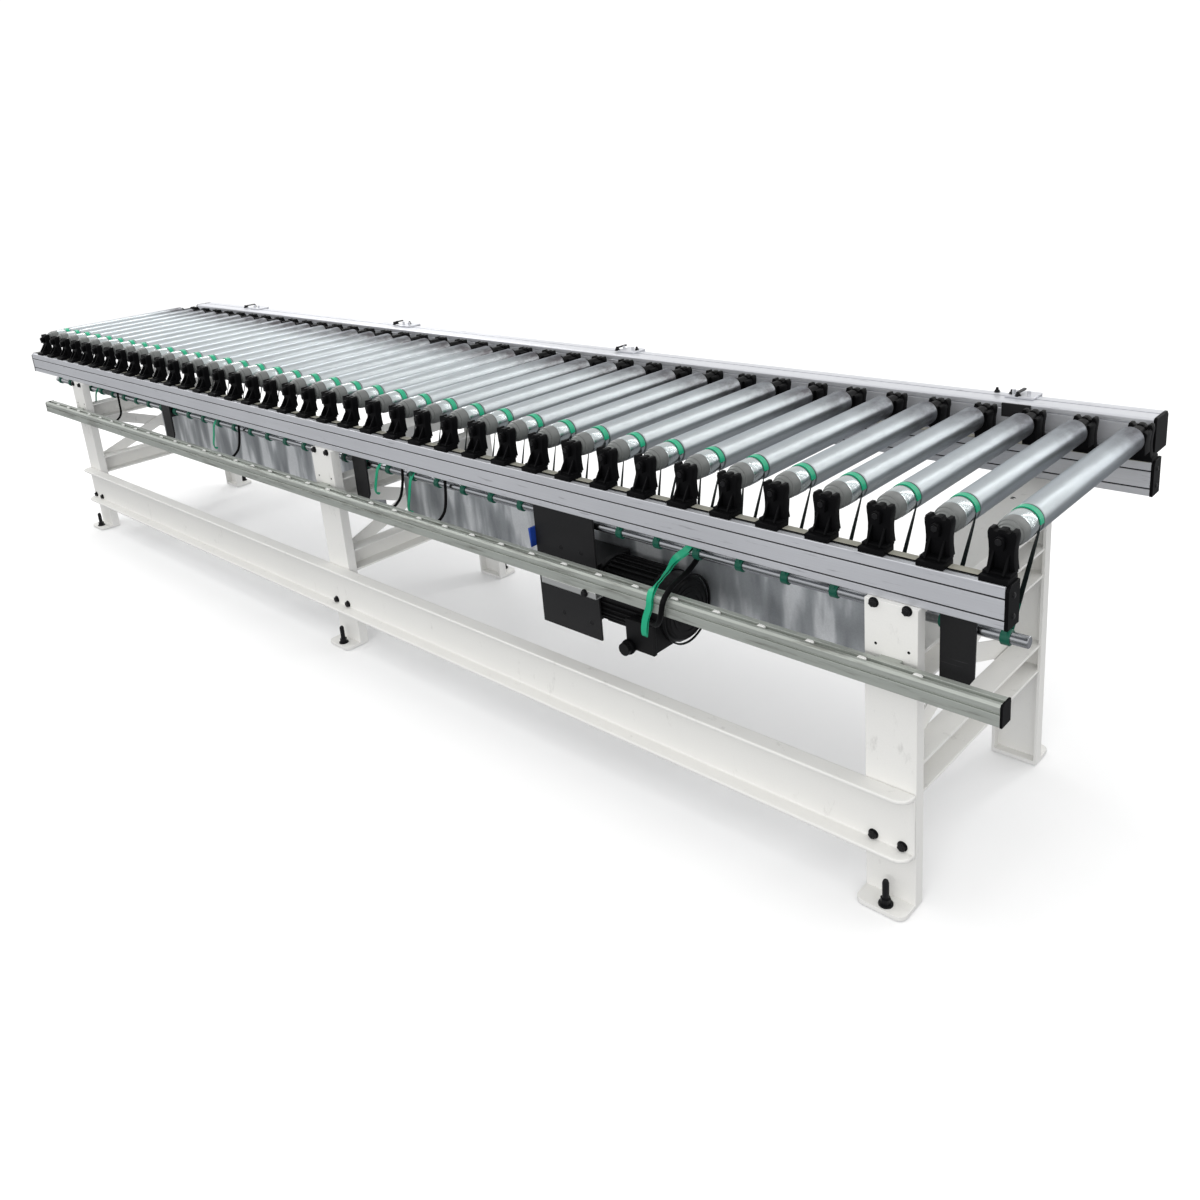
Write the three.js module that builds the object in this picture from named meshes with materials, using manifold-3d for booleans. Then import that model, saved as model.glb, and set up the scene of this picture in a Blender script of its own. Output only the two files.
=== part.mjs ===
// Line-shaft driven roller conveyor section.  Units mm, +X along the conveyor, +Y to the guide side, +Z up.
// Drawn from the middle of the side rails' length and of the bed width, at floor level; the last step
// moves everything so that the origin is in the middle of the footprint.
import * as THREE from 'three';
import { mergeVertices } from 'three/addons/utils/BufferGeometryUtils.js';
import Module from 'manifold-3d';

const wasm = await Module();
wasm.setup();

// ---- driving dimensions -------------------------------------------------------------------------
const GAP = 0.3;                 // clearance left between two touching pieces
const RAIL_TOP = 630;            // top of the side rails above the floor
const RAIL_HEIGHT = 70;
const RAIL_WIDTH = 40;
const RAIL_LENGTH = 3915;
const BED_WIDTH = 700;           // over the outer faces of both side rails
const ROLLER_COUNT = 39;
const ROLLER_PITCH = 100;
const ROLLER_RADIUS = 25;
const ROLLER_FIRST_X = -1868;
const ROLLER_AXIS_ABOVE_RAIL = 60;
const ROLLER_SEGMENTS = 12;
const STUB_RADIUS = 6;           // roller axle end
const POST_WIDTH = 93;
const POST_DEPTH = 25;
const STEEL = 6;                 // wall of the leg channels
const FRAME_DEPTH = 540;         // over the webs of a near and a far post
const FRAME_LEFT_X = { left: -1562, middle: 82, right: 1728 };
const SHAFT_RADIUS = 10;
const SHAFT_Y = -288;
const SHAFT_Z = 518;
const SHAFT_FROM_X = -1905;
const SHAFT_TO_X = 1967;
const BORE_CLEARANCE = 0.4;

// ---- derived positions --------------------------------------------------------------------------
const NEAR = -BED_WIDTH / 2;     // outer face of the near side rail
const FAR = BED_WIDTH / 2;       // outer face of the far side rail
const RAIL_BOTTOM = RAIL_TOP - RAIL_HEIGHT;
const AXIS_Z = RAIL_TOP + ROLLER_AXIS_ABOVE_RAIL;
const rollerX = (index) => ROLLER_FIRST_X + index * ROLLER_PITCH;
const NEAR_WEB = NEAR - 10;      // outer face of the near posts
const FAR_WEB = NEAR_WEB + FRAME_DEPTH;

// ---- solid helpers ------------------------------------------------------------------------------
function solid(geometry) {
  const bare = new THREE.BufferGeometry();
  bare.setAttribute('position', geometry.getAttribute('position').clone());
  if (geometry.index) {
    bare.setIndex(geometry.index.clone());
  }
  const welded = mergeVertices(bare, 1e-4);
  const mesh = new wasm.Mesh({
    numProp: 3,
    vertProperties: new Float32Array(welded.getAttribute('position').array),
    triVerts: new Uint32Array(welded.index.array),
  });
  mesh.merge();
  return new wasm.Manifold(mesh);
}

function toGeometry(body) {
  const mesh = body.getMesh();
  const geometry = new THREE.BufferGeometry();
  const corners = new Float32Array(mesh.numVert * 3);
  for (let i = 0; i < mesh.numVert; i += 1) {
    for (let axis = 0; axis < 3; axis += 1) {
      corners[3 * i + axis] = mesh.vertProperties[i * mesh.numProp + axis];
    }
  }
  geometry.setAttribute('position', new THREE.BufferAttribute(corners, 3));
  geometry.setIndex(new THREE.BufferAttribute(new Uint32Array(mesh.triVerts), 1));
  const flat = geometry.toNonIndexed();
  flat.computeVertexNormals();
  return flat;
}

const join = (bodies) => wasm.Manifold.union(bodies);

function box([x0, x1], [y0, y1], [z0, z1]) {
  const geometry = new THREE.BoxGeometry(x1 - x0, y1 - y0, z1 - z0);
  geometry.translate((x0 + x1) / 2, (y0 + y1) / 2, (z0 + z1) / 2);
  return solid(geometry);
}

function extrudeOutline(outline, depth) {
  const shape = new THREE.Shape(outline.map(([u, v]) => new THREE.Vector2(u, v)));
  return new THREE.ExtrudeGeometry(shape, { depth, bevelEnabled: false, steps: 1 });
}

// outline of [y, z] points swept along X
function prismX(outline, [x0, x1]) {
  const geometry = extrudeOutline(outline, x1 - x0);
  const turn = new THREE.Matrix4().set(0, 0, 1, x0, 1, 0, 0, 0, 0, 1, 0, 0, 0, 0, 0, 1);
  return solid(geometry.applyMatrix4(turn));
}

// outline of [x, z] points swept along Y
function prismY(outline, [y0, y1]) {
  const mirrored = outline.map(([u, v]) => [-u, v]);
  const geometry = extrudeOutline(mirrored, y1 - y0);
  const turn = new THREE.Matrix4().set(-1, 0, 0, 0, 0, 0, 1, y0, 0, 1, 0, 0, 0, 0, 0, 1);
  return solid(geometry.applyMatrix4(turn));
}

// outline of [x, y] points swept along Z
function prismZ(outline, [z0, z1]) {
  const geometry = extrudeOutline(outline, z1 - z0);
  return solid(geometry.translate(0, 0, z0));
}

// profile of [radius, position along the axis] points turned about the Y direction
function turnedY(profile, [x, z], segments) {
  const points = profile.map(([r, h]) => new THREE.Vector2(r, h));
  return solid(new THREE.LatheGeometry(points, segments).translate(x, 0, z));
}

function turnedX(profile, [y, z], segments) {
  const points = profile.map(([r, h]) => new THREE.Vector2(r, h));
  const geometry = new THREE.LatheGeometry(points, segments).rotateZ(-Math.PI / 2);
  return solid(geometry.translate(0, y, z));
}

function turnedZ(profile, [x, y], segments) {
  const points = profile.map(([r, h]) => new THREE.Vector2(r, h));
  const geometry = new THREE.LatheGeometry(points, segments).rotateX(Math.PI / 2);
  return solid(geometry.translate(x, y, 0));
}

const rod = (radius, [from, to]) => [[0, from], [radius, from], [radius, to], [0, to]];

// what is cut away to round the plan corner at [x, y]; the plate lies towards intoX, intoY
function cornerCut([x, y], intoX, intoY, radius, [z0, z1]) {
  const steps = 4;
  const outline = [[x - intoX, y - intoY], [x + intoX * radius, y - intoY]];
  for (let step = 0; step <= steps; step += 1) {
    const angle = (step / steps) * (Math.PI / 2);
    const along = radius * (1 - Math.sin(angle));
    const across = radius * (1 - Math.cos(angle));
    outline.push([x + intoX * along, y + intoY * across]);
  }
  outline.push([x - intoX, y + intoY * radius]);
  const ordered = intoX * intoY > 0 ? outline : outline.reverse();
  return prismZ(ordered, [z0 - 1, z1 + 1]);
}

// colour, metalness and roughness of each material
const LOOKS = {
  zinc: [0xb9bec4, 0.8, 0.35],
  blackPlastic: [0x17181a, 0.0, 0.55],
  anodised: [0xc9cbd0, 0.7, 0.4],
  dullAluminium: [0xb7b6b0, 0.6, 0.45],
  whitePaint: [0xe6e4e0, 0.1, 0.55],
  brightSteel: [0xc4c8cc, 0.9, 0.25],
  darkSteel: [0x2c2d30, 0.4, 0.55],
  motorBlack: [0x1d1f22, 0.3, 0.6],
  rubber: [0x101113, 0.0, 0.7],
  galvanised: [0xaeb2b6, 0.8, 0.45],
};

const object = new THREE.Group();
object.name = 'line_shaft_roller_conveyor';

function add(name, body, look) {
  const [color, metalness, roughness] = LOOKS[look];
  const material = new THREE.MeshStandardMaterial({ color, metalness, roughness });
  material.name = `${name}_material`;
  const mesh = new THREE.Mesh(toGeometry(body), material);
  mesh.name = name;
  object.add(mesh);
}

// ---- rollers ------------------------------------------------------------------------------------
const ROLLER = {
  stubFrom: NEAR + 8,
  capFrom: NEAR + 42,
  tubeFrom: NEAR + 74,
  tubeTo: FAR - 108,
  capTo: FAR - 82,
  stubTo: FAR - 28,
};

function roller(x) {
  const profile = [
    [0, ROLLER.stubFrom],
    [STUB_RADIUS, ROLLER.stubFrom],
    [STUB_RADIUS, ROLLER.capFrom],
    [ROLLER_RADIUS, ROLLER.tubeFrom],
    [ROLLER_RADIUS, ROLLER.tubeTo],
    [STUB_RADIUS, ROLLER.capTo],
    [STUB_RADIUS, ROLLER.stubTo],
    [0, ROLLER.stubTo],
  ];
  return turnedY(profile, [x, AXIS_Z], ROLLER_SEGMENTS);
}

for (let index = 0; index < ROLLER_COUNT; index += 1) {
  const label = String(index + 1).padStart(2, '0');
  add(`roller_${label}`, roller(rollerX(index)), 'zinc');
}

// ---- roller brackets, one row per side rail ------------------------------------------------------
const SLOT_DEPTH = 6;            // top slot of a side rail
const SLOT_WIDTH = 10;
const BRACKET_HALF = [[23, 0], [23, 7], [18, 14], [16, 34], [20, 50], [20, 70]];   // half width, height
const BRACKET_INSET = 2;         // from the rail's outer face
const BRACKET_STRIP = { inset: 5, height: 2 };
const FAR_OVERHANG = 20;         // the far row reaches past the inner edge of its rail

function bracketOutline(x) {
  const foot = RAIL_TOP + GAP;
  const slot = STUB_RADIUS + BORE_CLEARANCE;
  const seat = AXIS_Z - slot;
  const side = BRACKET_HALF.map(([u, v]) => [u, foot + v]);
  const top = side[side.length - 1][1];
  const half = [...side, [slot, top], [slot, seat]];
  const right = half.map(([u, v]) => [x + u, v]);
  const left = half.map(([u, v]) => [x - u, v]).reverse();
  return [...right, ...left];
}

function bracketRow(outerFace, overhang) {
  const middle = outerFace + RAIL_WIDTH / 2;
  const inner = outerFace + RAIL_WIDTH;
  const depth = [outerFace + BRACKET_INSET - overhang, inner - BRACKET_INSET - overhang / 2];
  const tongue = SLOT_WIDTH / 2 - GAP;
  const { inset, height } = BRACKET_STRIP;
  const strip = box(
    [-RAIL_LENGTH / 2 + inset, RAIL_LENGTH / 2 - inset],
    [middle - tongue, middle + tongue],
    [RAIL_TOP - SLOT_DEPTH + GAP, RAIL_TOP + GAP + height],
  );
  const parts = [strip];
  for (let index = 0; index < ROLLER_COUNT; index += 1) {
    parts.push(prismY(bracketOutline(rollerX(index)), depth));
  }
  return join(parts);
}

add('near_roller_brackets', bracketRow(NEAR, 0), 'blackPlastic');
add('far_roller_brackets', bracketRow(FAR - RAIL_WIDTH, FAR_OVERHANG), 'blackPlastic');

// ---- side rails, guide rail, cable rail -----------------------------------------------------------
const GROOVE = { width: 4, depth: 4, below: [20, 55] };
const RAIL_WALL = { side: 8, end: 5 };

function grooveCut(face, inward, z, [x0, x1]) {
  const edges = [face - inward, face + inward * GROOVE.depth].sort((a, b) => a - b);
  return box([x0 - 1, x1 + 1], edges, [z - GROOVE.width / 2, z + GROOVE.width / 2]);
}

function sideRail(outerFace) {
  const span = [-RAIL_LENGTH / 2, RAIL_LENGTH / 2];
  const middle = outerFace + RAIL_WIDTH / 2;
  const body = box(span, [outerFace, outerFace + RAIL_WIDTH], [RAIL_BOTTOM, RAIL_TOP]);
  const slot = box(
    [span[0] - 1, span[1] + 1],
    [middle - SLOT_WIDTH / 2, middle + SLOT_WIDTH / 2],
    [RAIL_TOP - SLOT_DEPTH, RAIL_TOP + 1],
  );
  const hollow = box(
    [span[0] - 1, span[1] + 1],
    [outerFace + RAIL_WALL.side, outerFace + RAIL_WIDTH - RAIL_WALL.side],
    [RAIL_BOTTOM + RAIL_WALL.end, RAIL_TOP - SLOT_DEPTH - RAIL_WALL.end],
  );
  const cuts = [slot, hollow];
  for (const below of GROOVE.below) {
    cuts.push(grooveCut(outerFace, 1, RAIL_TOP - below, span));
    cuts.push(grooveCut(outerFace + RAIL_WIDTH, -1, RAIL_TOP - below, span));
  }
  return body.subtract(join(cuts));
}

add('near_side_rail', sideRail(NEAR), 'anodised');
add('far_side_rail', sideRail(FAR - RAIL_WIDTH), 'anodised');

const GUIDE = {
  from: -RAIL_LENGTH / 2,
  to: RAIL_LENGTH / 2 - 14,
  y: [FAR + 5, FAR + 77],
  z: [629, 701],
  round: 8,
  chamfer: [2, 3],
  wall: 7,
  roof: 11,
  grooveBelow: 13,
};

function guideRail() {
  const [y0, y1] = GUIDE.y;
  const [z0, z1] = GUIDE.z;
  const { from, to, round, chamfer, wall, roof, grooveBelow } = GUIDE;
  const outline = [
    [y0, z0],
    [y1, z0],
    [y1, z1 - round],
    [y1 - round, z1],
    [y0 + round, z1],
    [y0 + chamfer[0], z1 - chamfer[1]],
    [y0, z1 - round],
  ];
  const body = prismX(outline, [from, to]);
  const hollow = box([from - 1, to + 1], [y0 + wall, y1 - wall], [z0 + wall, z1 - roof]);
  const groove = grooveCut(y0, 1, z1 - grooveBelow, [from, to]);
  return body.subtract(join([hollow, groove]));
}

add('guide_rail', guideRail(), 'anodised');

// flat bar between the far side rail and the guide rail, with four arms wrapped round the guide rail
const GUIDE_BAR = { ends: 60, above: 8, below: 12 };
const GUIDE_ARM = { x: [-1500, -475, 560, 1668], width: 60, thick: 5, reach: 46, low: 30, high: 14 };
const GUIDE_STUD = { radius: 4, height: 11, spacing: 16, inset: 32 };

function guideSupport() {
  const [y0, y1] = GUIDE.y;
  const [z0, z1] = GUIDE.z;
  const { width, thick, reach, low, high } = GUIDE_ARM;
  const barZ = [RAIL_BOTTOM + GUIDE_BAR.above, z0 - GUIDE_BAR.below];
  const inner = FAR + GAP;
  const outer = y0 - GAP;
  const under = [z0 - GAP - thick, z0 - GAP];
  const over = [z1 + GAP, z1 + GAP + thick];
  const back = [y1 + GAP, y1 + GAP + thick];
  const parts = [box([GUIDE.from + GUIDE_BAR.ends, GUIDE.to - GUIDE_BAR.ends], [inner, outer], barZ)];
  for (const x of GUIDE_ARM.x) {
    const span = [x - width / 2, x + width / 2];
    parts.push(box(span, [inner, outer], [z0 - low, z1 - high]));
    parts.push(box(span, [inner, back[1]], under));
    parts.push(box(span, back, [under[0], over[1]]));
    parts.push(box(span, [y1 - reach, back[1]], over));
    for (const side of [-1, 1]) {
      const stud = rod(GUIDE_STUD.radius, [over[1] - 1, over[1] + GUIDE_STUD.height]);
      parts.push(turnedZ(stud, [x + side * GUIDE_STUD.spacing, y1 - GUIDE_STUD.inset], 8));
    }
  }
  return join(parts);
}

add('guide_support', guideSupport(), 'darkSteel');

const CABLE_RAIL = {
  from: -1750,
  to: 1977,
  y: [NEAR - 56, NEAR - 26],
  z: [433, 470],
  topSlot: { y: [10, 17], depth: 5 },
  faceSlot: { z: [8, 13], depth: 4 },
  hollow: { front: 8, back: 5, bottom: 5, top: 10 },
  pad: { x: [30, 68], inset: 4 },
};

function cableRail() {
  const { from, to, y, z, topSlot, faceSlot, hollow, pad } = CABLE_RAIL;
  const length = [from - 1, to + 1];
  const body = box([from, to], y, z);
  const cuts = [
    box(length, [y[0] + topSlot.y[0], y[0] + topSlot.y[1]], [z[1] - topSlot.depth, z[1] + 1]),
    box(length, [y[0] - 1, y[0] + faceSlot.depth], [z[0] + faceSlot.z[0], z[0] + faceSlot.z[1]]),
    box(length, [y[0] + hollow.front, y[1] - hollow.back], [z[0] + hollow.bottom, z[1] - hollow.top]),
  ];
  const pads = [];
  for (const x of Object.values(FRAME_LEFT_X)) {
    const padY = [y[1] - 1, NEAR_WEB - GAP];
    pads.push(box([x + pad.x[0], x + pad.x[1]], padY, [z[0] + pad.inset, z[1] - pad.inset]));
  }
  return join([body.subtract(join(cuts)), ...pads]);
}

add('cable_rail', cableRail(), 'dullAluminium');

// ---- leg frames -----------------------------------------------------------------------------------
const FOOT_TOE = 44;             // how far a foot reaches out past its post
const FOOT_PLATE = 8;
const TOE_ROUND = 16;
const TIE = { height: 60, setback: 44, wall: 5, lower: 213, upper: 418 };
const BRACE = { half: 20, thick: 5, setbacks: [41, 37], aboveLower: 35, aboveUpper: 25 };
// top plate; pad and the neck's ends are measured in from the near rail's outer face
const TOP = {
  thick: 12,
  fold: 5,
  drop: 36,
  pad: RAIL_WIDTH + 6,
  neckFrom: RAIL_WIDTH + 14,
  neckTo: 136,
  wide: 150,
};
const NECK = { left: [-1531, -1498], middle: [147, 171], right: [1759, 1792] };

// side = -1 for the near post, +1 for the far post; web outside, flanges pointing inward
function post(x0, side) {
  const web = side < 0 ? NEAR_WEB : FAR_WEB;
  const inner = web - side * STEEL;
  const lip = web - side * POST_DEPTH;
  const x1 = x0 + POST_WIDTH;
  const outline = [
    [x0, web],
    [x1, web],
    [x1, lip],
    [x1 - STEEL, lip],
    [x1 - STEEL, inner],
    [x0 + STEEL, inner],
    [x0 + STEEL, lip],
    [x0, lip],
  ];
  const ordered = side < 0 ? outline : outline.reverse();
  const shaft = prismZ(ordered, [0, RAIL_BOTTOM - GAP]);
  const toeEnds = [lip, web + side * FOOT_TOE].sort((a, b) => a - b);
  const toe = box([x0, x1], toeEnds, [0, FOOT_PLATE]);
  const tip = web + side * FOOT_TOE;
  const rounds = [
    cornerCut([x0, tip], 1, -side, TOE_ROUND, [0, FOOT_PLATE]),
    cornerCut([x1, tip], -1, -side, TOE_ROUND, [0, FOOT_PLATE]),
  ];
  return join([shaft, toe]).subtract(join(rounds));
}

// channel across the frame: web toward -X, flanges toward +X
function crossTie(x0, z0) {
  const z1 = z0 + TIE.height;
  const ends = [NEAR_WEB + STEEL - 1, FAR_WEB - STEEL + 1];
  const left = x0 + TIE.setback;
  const right = x0 + POST_WIDTH - STEEL / 2;
  const web = box([left, left + TIE.wall], ends, [z0, z1]);
  const lower = box([left, right], ends, [z0, z0 + TIE.wall]);
  const upper = box([left, right], ends, [z1 - TIE.wall, z1]);
  return join([web, lower, upper]);
}

function diagonal(x, zNear, zFar) {
  const near = NEAR_WEB + STEEL - 1;
  const far = FAR_WEB - STEEL + 1;
  const { half, thick } = BRACE;
  const outline = [[near, zNear - half], [far, zFar - half], [far, zFar + half], [near, zNear + half]];
  return prismX(outline, [x, x + thick]);
}

// top plate: pads under both side rails, with a narrow neck that leaves the drive belts free, and a
// folded edge towards +X
function topPlate(x0, [neckLeft, neckRight]) {
  const top = RAIL_BOTTOM - GAP;
  const x1 = x0 + POST_WIDTH;
  const { thick, fold, drop, pad, neckFrom, neckTo, wide } = TOP;
  const edge = box([x1 - fold, x1], [NEAR + wide, FAR_WEB - 1], [top - drop, top - thick + 1]);
  const outline = [
    [x0, NEAR_WEB + 1],
    [x1, NEAR_WEB + 1],
    [x1, NEAR + pad],
    [neckRight, NEAR + neckFrom],
    [neckRight, NEAR + neckTo],
    [x1, NEAR + wide],
    [x1, FAR],
    [x0, FAR],
    [x0, NEAR + wide],
    [neckLeft, NEAR + neckTo],
    [neckLeft, NEAR + neckFrom],
    [x0, NEAR + pad],
  ];
  return join([prismZ(outline, [top - thick, top]), edge]);
}

function legFrame(x0, neck) {
  const low = TIE.lower + BRACE.aboveLower;
  const high = TIE.upper + BRACE.aboveUpper;
  const parts = [
    post(x0, -1),
    post(x0, 1),
    topPlate(x0, neck),
    crossTie(x0, TIE.lower),
    crossTie(x0, TIE.upper),
    diagonal(x0 + BRACE.setbacks[0], low, high),
    diagonal(x0 + BRACE.setbacks[1], high, low),
  ];
  return join(parts);
}

for (const [side, x0] of Object.entries(FRAME_LEFT_X)) {
  add(`leg_frame_${side}`, legFrame(x0, NECK[side]), 'whitePaint');
}

// channel tie beam in front of the near posts, flanges outward
const BEAM = { z: [105, 227], depth: 35, web: 6, edge: 7, root: 9, round: 26 };

function baseBeam() {
  const { z: [z0, z1], web, edge, root, round } = BEAM;
  const [x0, x1] = [FRAME_LEFT_X.left, FRAME_LEFT_X.right + POST_WIDTH];
  const back = NEAR_WEB - GAP;
  const front = NEAR_WEB - BEAM.depth;
  const outline = [
    [back, z0],
    [back, z1],
    [front, z1],
    [front, z1 - edge],
    [back - web, z1 - root],
    [back - web, z0 + root],
    [front, z0 + edge],
    [front, z0],
  ];
  const channel = prismX(outline.reverse(), [x0, x1]);
  const corners = [
    cornerCut([x0, front], 1, 1, round, [z0, z1]),
    cornerCut([x1, front], -1, 1, round, [z0, z1]),
  ];
  return channel.subtract(join(corners));
}

add('base_beam', baseBeam(), 'whitePaint');

// ---- drive ---------------------------------------------------------------------------------------
const SHAFT_SEGMENTS = 16;
const lineShaft = turnedX(rod(SHAFT_RADIUS, [SHAFT_FROM_X, SHAFT_TO_X]), [SHAFT_Y, SHAFT_Z], SHAFT_SEGMENTS);
add('line_shaft', lineShaft, 'brightSteel');

const PLATE_FACE = NEAR + 42;    // front face of the hanging plates
const PLATE_THICK = 5;
const PLATE_TOP = RAIL_BOTTOM - GAP;

function shaftBore([x0, x1]) {
  return turnedX(rod(SHAFT_RADIUS + BORE_CLEARANCE, [x0 - 1, x1 + 1]), [SHAFT_Y, SHAFT_Z], SHAFT_SEGMENTS);
}

const BEARING = {
  width: 60,
  bottom: 422,
  corners: [[0, 4], [5, 0], [48, 0], [58, 16]],   // of the plate's lower edge, from its lower left corner
  block: { width: 22, behind: 22, below: 24, above: 22 },
  collar: { radius: 17, length: 7 },
  tab: { inset: 6, from: NEAR + 14 },
};

function shaftBearing({ x: x0, block: blockFrom }) {
  const { width, bottom, corners, block, collar, tab } = BEARING;
  const lowerEdge = corners.map(([u, v]) => [x0 + u, bottom + v]);
  const face = prismY(
    [...lowerEdge, [x0 + width, PLATE_TOP], [x0, PLATE_TOP]],
    [PLATE_FACE, PLATE_FACE + PLATE_THICK],
  );
  const blockEnds = [x0 + blockFrom, x0 + blockFrom + block.width];
  const housing = box(
    blockEnds,
    [PLATE_FACE + PLATE_THICK - 1, SHAFT_Y + block.behind],
    [SHAFT_Z - block.below, SHAFT_Z + block.above],
  );
  const collarEnds = [blockEnds[1] - 1, blockEnds[1] + collar.length];
  const ring = turnedX(rod(collar.radius, collarEnds), [SHAFT_Y, SHAFT_Z], SHAFT_SEGMENTS);
  const fixing = box(
    [x0 + tab.inset, x0 + width - tab.inset],
    [tab.from, PLATE_FACE + 1],
    [PLATE_TOP - PLATE_THICK, PLATE_TOP],
  );
  return join([face, housing, ring, fixing]).subtract(shaftBore([x0, x0 + width]));
}

// x is the plate's left edge; the bearing block stands between two drive belts
const BEARINGS = {
  left: { x: -940, block: 16 },
  middle: { x: 190, block: 1 },
  right: { x: 1832, block: 20 },
};
for (const [side, place] of Object.entries(BEARINGS)) {
  add(`shaft_bearing_${side}`, shaftBearing(place), 'darkSteel');
}

const MOTOR_PLATE = {
  x: [888, 1068],
  z: [258, PLATE_TOP],
  holes: [[965, 453], [1025, 453], [956, 295], [1040, 294]],
  holeRadius: 5,
  lip: { inset: 10, from: NEAR + 8 },
};

function motorPlate() {
  const { x: [x0, x1], z: [z0, z1], lip } = MOTOR_PLATE;
  const face = box([x0, x1], [PLATE_FACE, PLATE_FACE + PLATE_THICK], [z0, z1]);
  const fixing = box([x0 + lip.inset, x1 - lip.inset], [lip.from, PLATE_FACE + 1], [z1 - PLATE_THICK, z1]);
  const through = [PLATE_FACE - 1, PLATE_FACE + PLATE_THICK + 1];
  const holes = MOTOR_PLATE.holes.map((place) => turnedY(rod(MOTOR_PLATE.holeRadius, through), place, 8));
  return join([face, fixing]).subtract(join(holes));
}

add('motor_plate', motorPlate(), 'darkSteel');

const MOTOR_Y = -228;
const MOTOR_Z = 350;
const MOTOR_RADIUS = 72;
const MOTOR_SEGMENTS = 24;
const GEAR_FRONT = PLATE_FACE + PLATE_THICK + GAP;
const CASE = { x: [886, 920], below: 60, back: 60, chamfer: 30, aroundShaft: [34, 30] };
const GEARBOX = { x: [919, 1040], back: MOTOR_Y + 58, z: [MOTOR_Z - 62, MOTOR_Z + 66] };
const FLANGE = { x: [1038, 1050], radius: MOTOR_RADIUS + 2 };
const BARREL = { x: [1048, 1192], radius: MOTOR_RADIUS - 3 };
const COWL = { x: [1190, 1248], length: 46, taper: 9 };

// narrow case of the toothed belt that drives the line shaft, in one piece with the gear unit
function driveCase() {
  const { x, below, back, chamfer, aroundShaft } = CASE;
  const outline = [
    [GEAR_FRONT, SHAFT_Z + aroundShaft[1]],
    [GEAR_FRONT, MOTOR_Z - below],
    [MOTOR_Y + back - chamfer / 2, MOTOR_Z - below],
    [MOTOR_Y + back, MOTOR_Z - chamfer],
    [MOTOR_Y + back, MOTOR_Z + chamfer],
    [SHAFT_Y + aroundShaft[0], SHAFT_Z + aroundShaft[1]],
  ];
  return prismX(outline, x).subtract(shaftBore(x));
}

function gearmotor() {
  const axis = [MOTOR_Y, MOTOR_Z];
  const [cowlFrom, cowlTo] = COWL.x;
  const cowl = [
    [0, cowlFrom],
    [MOTOR_RADIUS, cowlFrom],
    [MOTOR_RADIUS, cowlFrom + COWL.length],
    [MOTOR_RADIUS - COWL.taper, cowlTo],
    [0, cowlTo],
  ];
  return join([
    driveCase(),
    box(GEARBOX.x, [GEAR_FRONT, GEARBOX.back], GEARBOX.z),
    turnedX(rod(FLANGE.radius, FLANGE.x), axis, MOTOR_SEGMENTS),
    turnedX(rod(BARREL.radius, BARREL.x), axis, MOTOR_SEGMENTS),
    turnedX(cowl, axis, MOTOR_SEGMENTS),
  ]);
}

add('gearmotor', gearmotor(), 'motorBlack');

const TERMINAL = { x: [1160, 1230], y: [-318, -247], z: [282, 344], lid: 8, lidRim: 2 };
const GLAND = { x: 1168, z: 286, radius: 14, length: 22 };

function terminalBox() {
  const { x, y, z, lid, lidRim } = TERMINAL;
  const lidFront = y[0] - lid;
  const parts = [
    box(x, y, z),
    box([x[0] - lidRim, x[1] + lidRim], [lidFront, y[0] + 1], [z[0] - lidRim, z[1] + lidRim]),
    turnedY(rod(GLAND.radius, [lidFront - GLAND.length, lidFront + 1]), [GLAND.x, GLAND.z], 12),
  ];
  const saddle = turnedX(
    rod(MOTOR_RADIUS + GAP, [x[0] - lidRim - 1, x[1] + lidRim + 1]),
    [MOTOR_Y, MOTOR_Z],
    MOTOR_SEGMENTS,
  );
  return join(parts).subtract(saddle);
}

add('terminal_box', terminalBox(), 'motorBlack');

const CABLE_RADIUS = 5.5;
const CABLE_STEPS = 36;
const CABLE_ROUTE = [
  [1336, -303, 578],
  [1332, -294, 556],
  [1324, -268, 532],
  [1318, -270, 504],
  [1320, -304, 486],
  [1330, -352, 484],
  [1342, -392, 484],
  [1344, -414, 470],
  [1336, -415, 438],
  [1318, -406, 412],
  [1272, -378, 394],
  [1226, -340, 384],
  [1204, -318, 376],
  [1198, -308, 364],
  [1198, -308, TERMINAL.z[1] + GAP + 2],
];

function motorCable() {
  const points = CABLE_ROUTE.map(([x, y, z]) => new THREE.Vector3(x, y, z));
  const path = new THREE.CatmullRomCurve3(points, false, 'centripetal');
  const section = new THREE.Shape();
  section.absarc(0, 0, CABLE_RADIUS, 0, 2 * Math.PI, false);
  const geometry = new THREE.ExtrudeGeometry(section, {
    steps: CABLE_STEPS,
    curveSegments: 3,
    bevelEnabled: false,
    extrudePath: path,
  });
  return solid(geometry);
}

add('motor_cable', motorCable(), 'rubber');

// ---- galvanised panels hanging behind the drive ----------------------------------------------------
const PANEL = { face: NEAR + 200, z: [290, 508], sheet: 2, lip: 16, frameGap: 6, from: -1330 };

function rearPanel(ends) {
  const { face, z: [z0, z1], sheet, lip } = PANEL;
  const outline = [
    [face, z0],
    [face + lip, z0],
    [face + lip, z0 + sheet],
    [face + sheet, z0 + sheet],
    [face + sheet, z1 - sheet],
    [face + lip, z1 - sheet],
    [face + lip, z1],
    [face, z1],
  ];
  return prismX(outline, ends);
}

const panelEnds = {
  left: [PANEL.from, FRAME_LEFT_X.middle - PANEL.frameGap],
  right: [FRAME_LEFT_X.middle + POST_WIDTH + PANEL.frameGap, FRAME_LEFT_X.right - PANEL.frameGap],
};
for (const [side, ends] of Object.entries(panelEnds)) {
  add(`rear_panel_${side}`, rearPanel(ends), 'galvanised');
}

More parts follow.
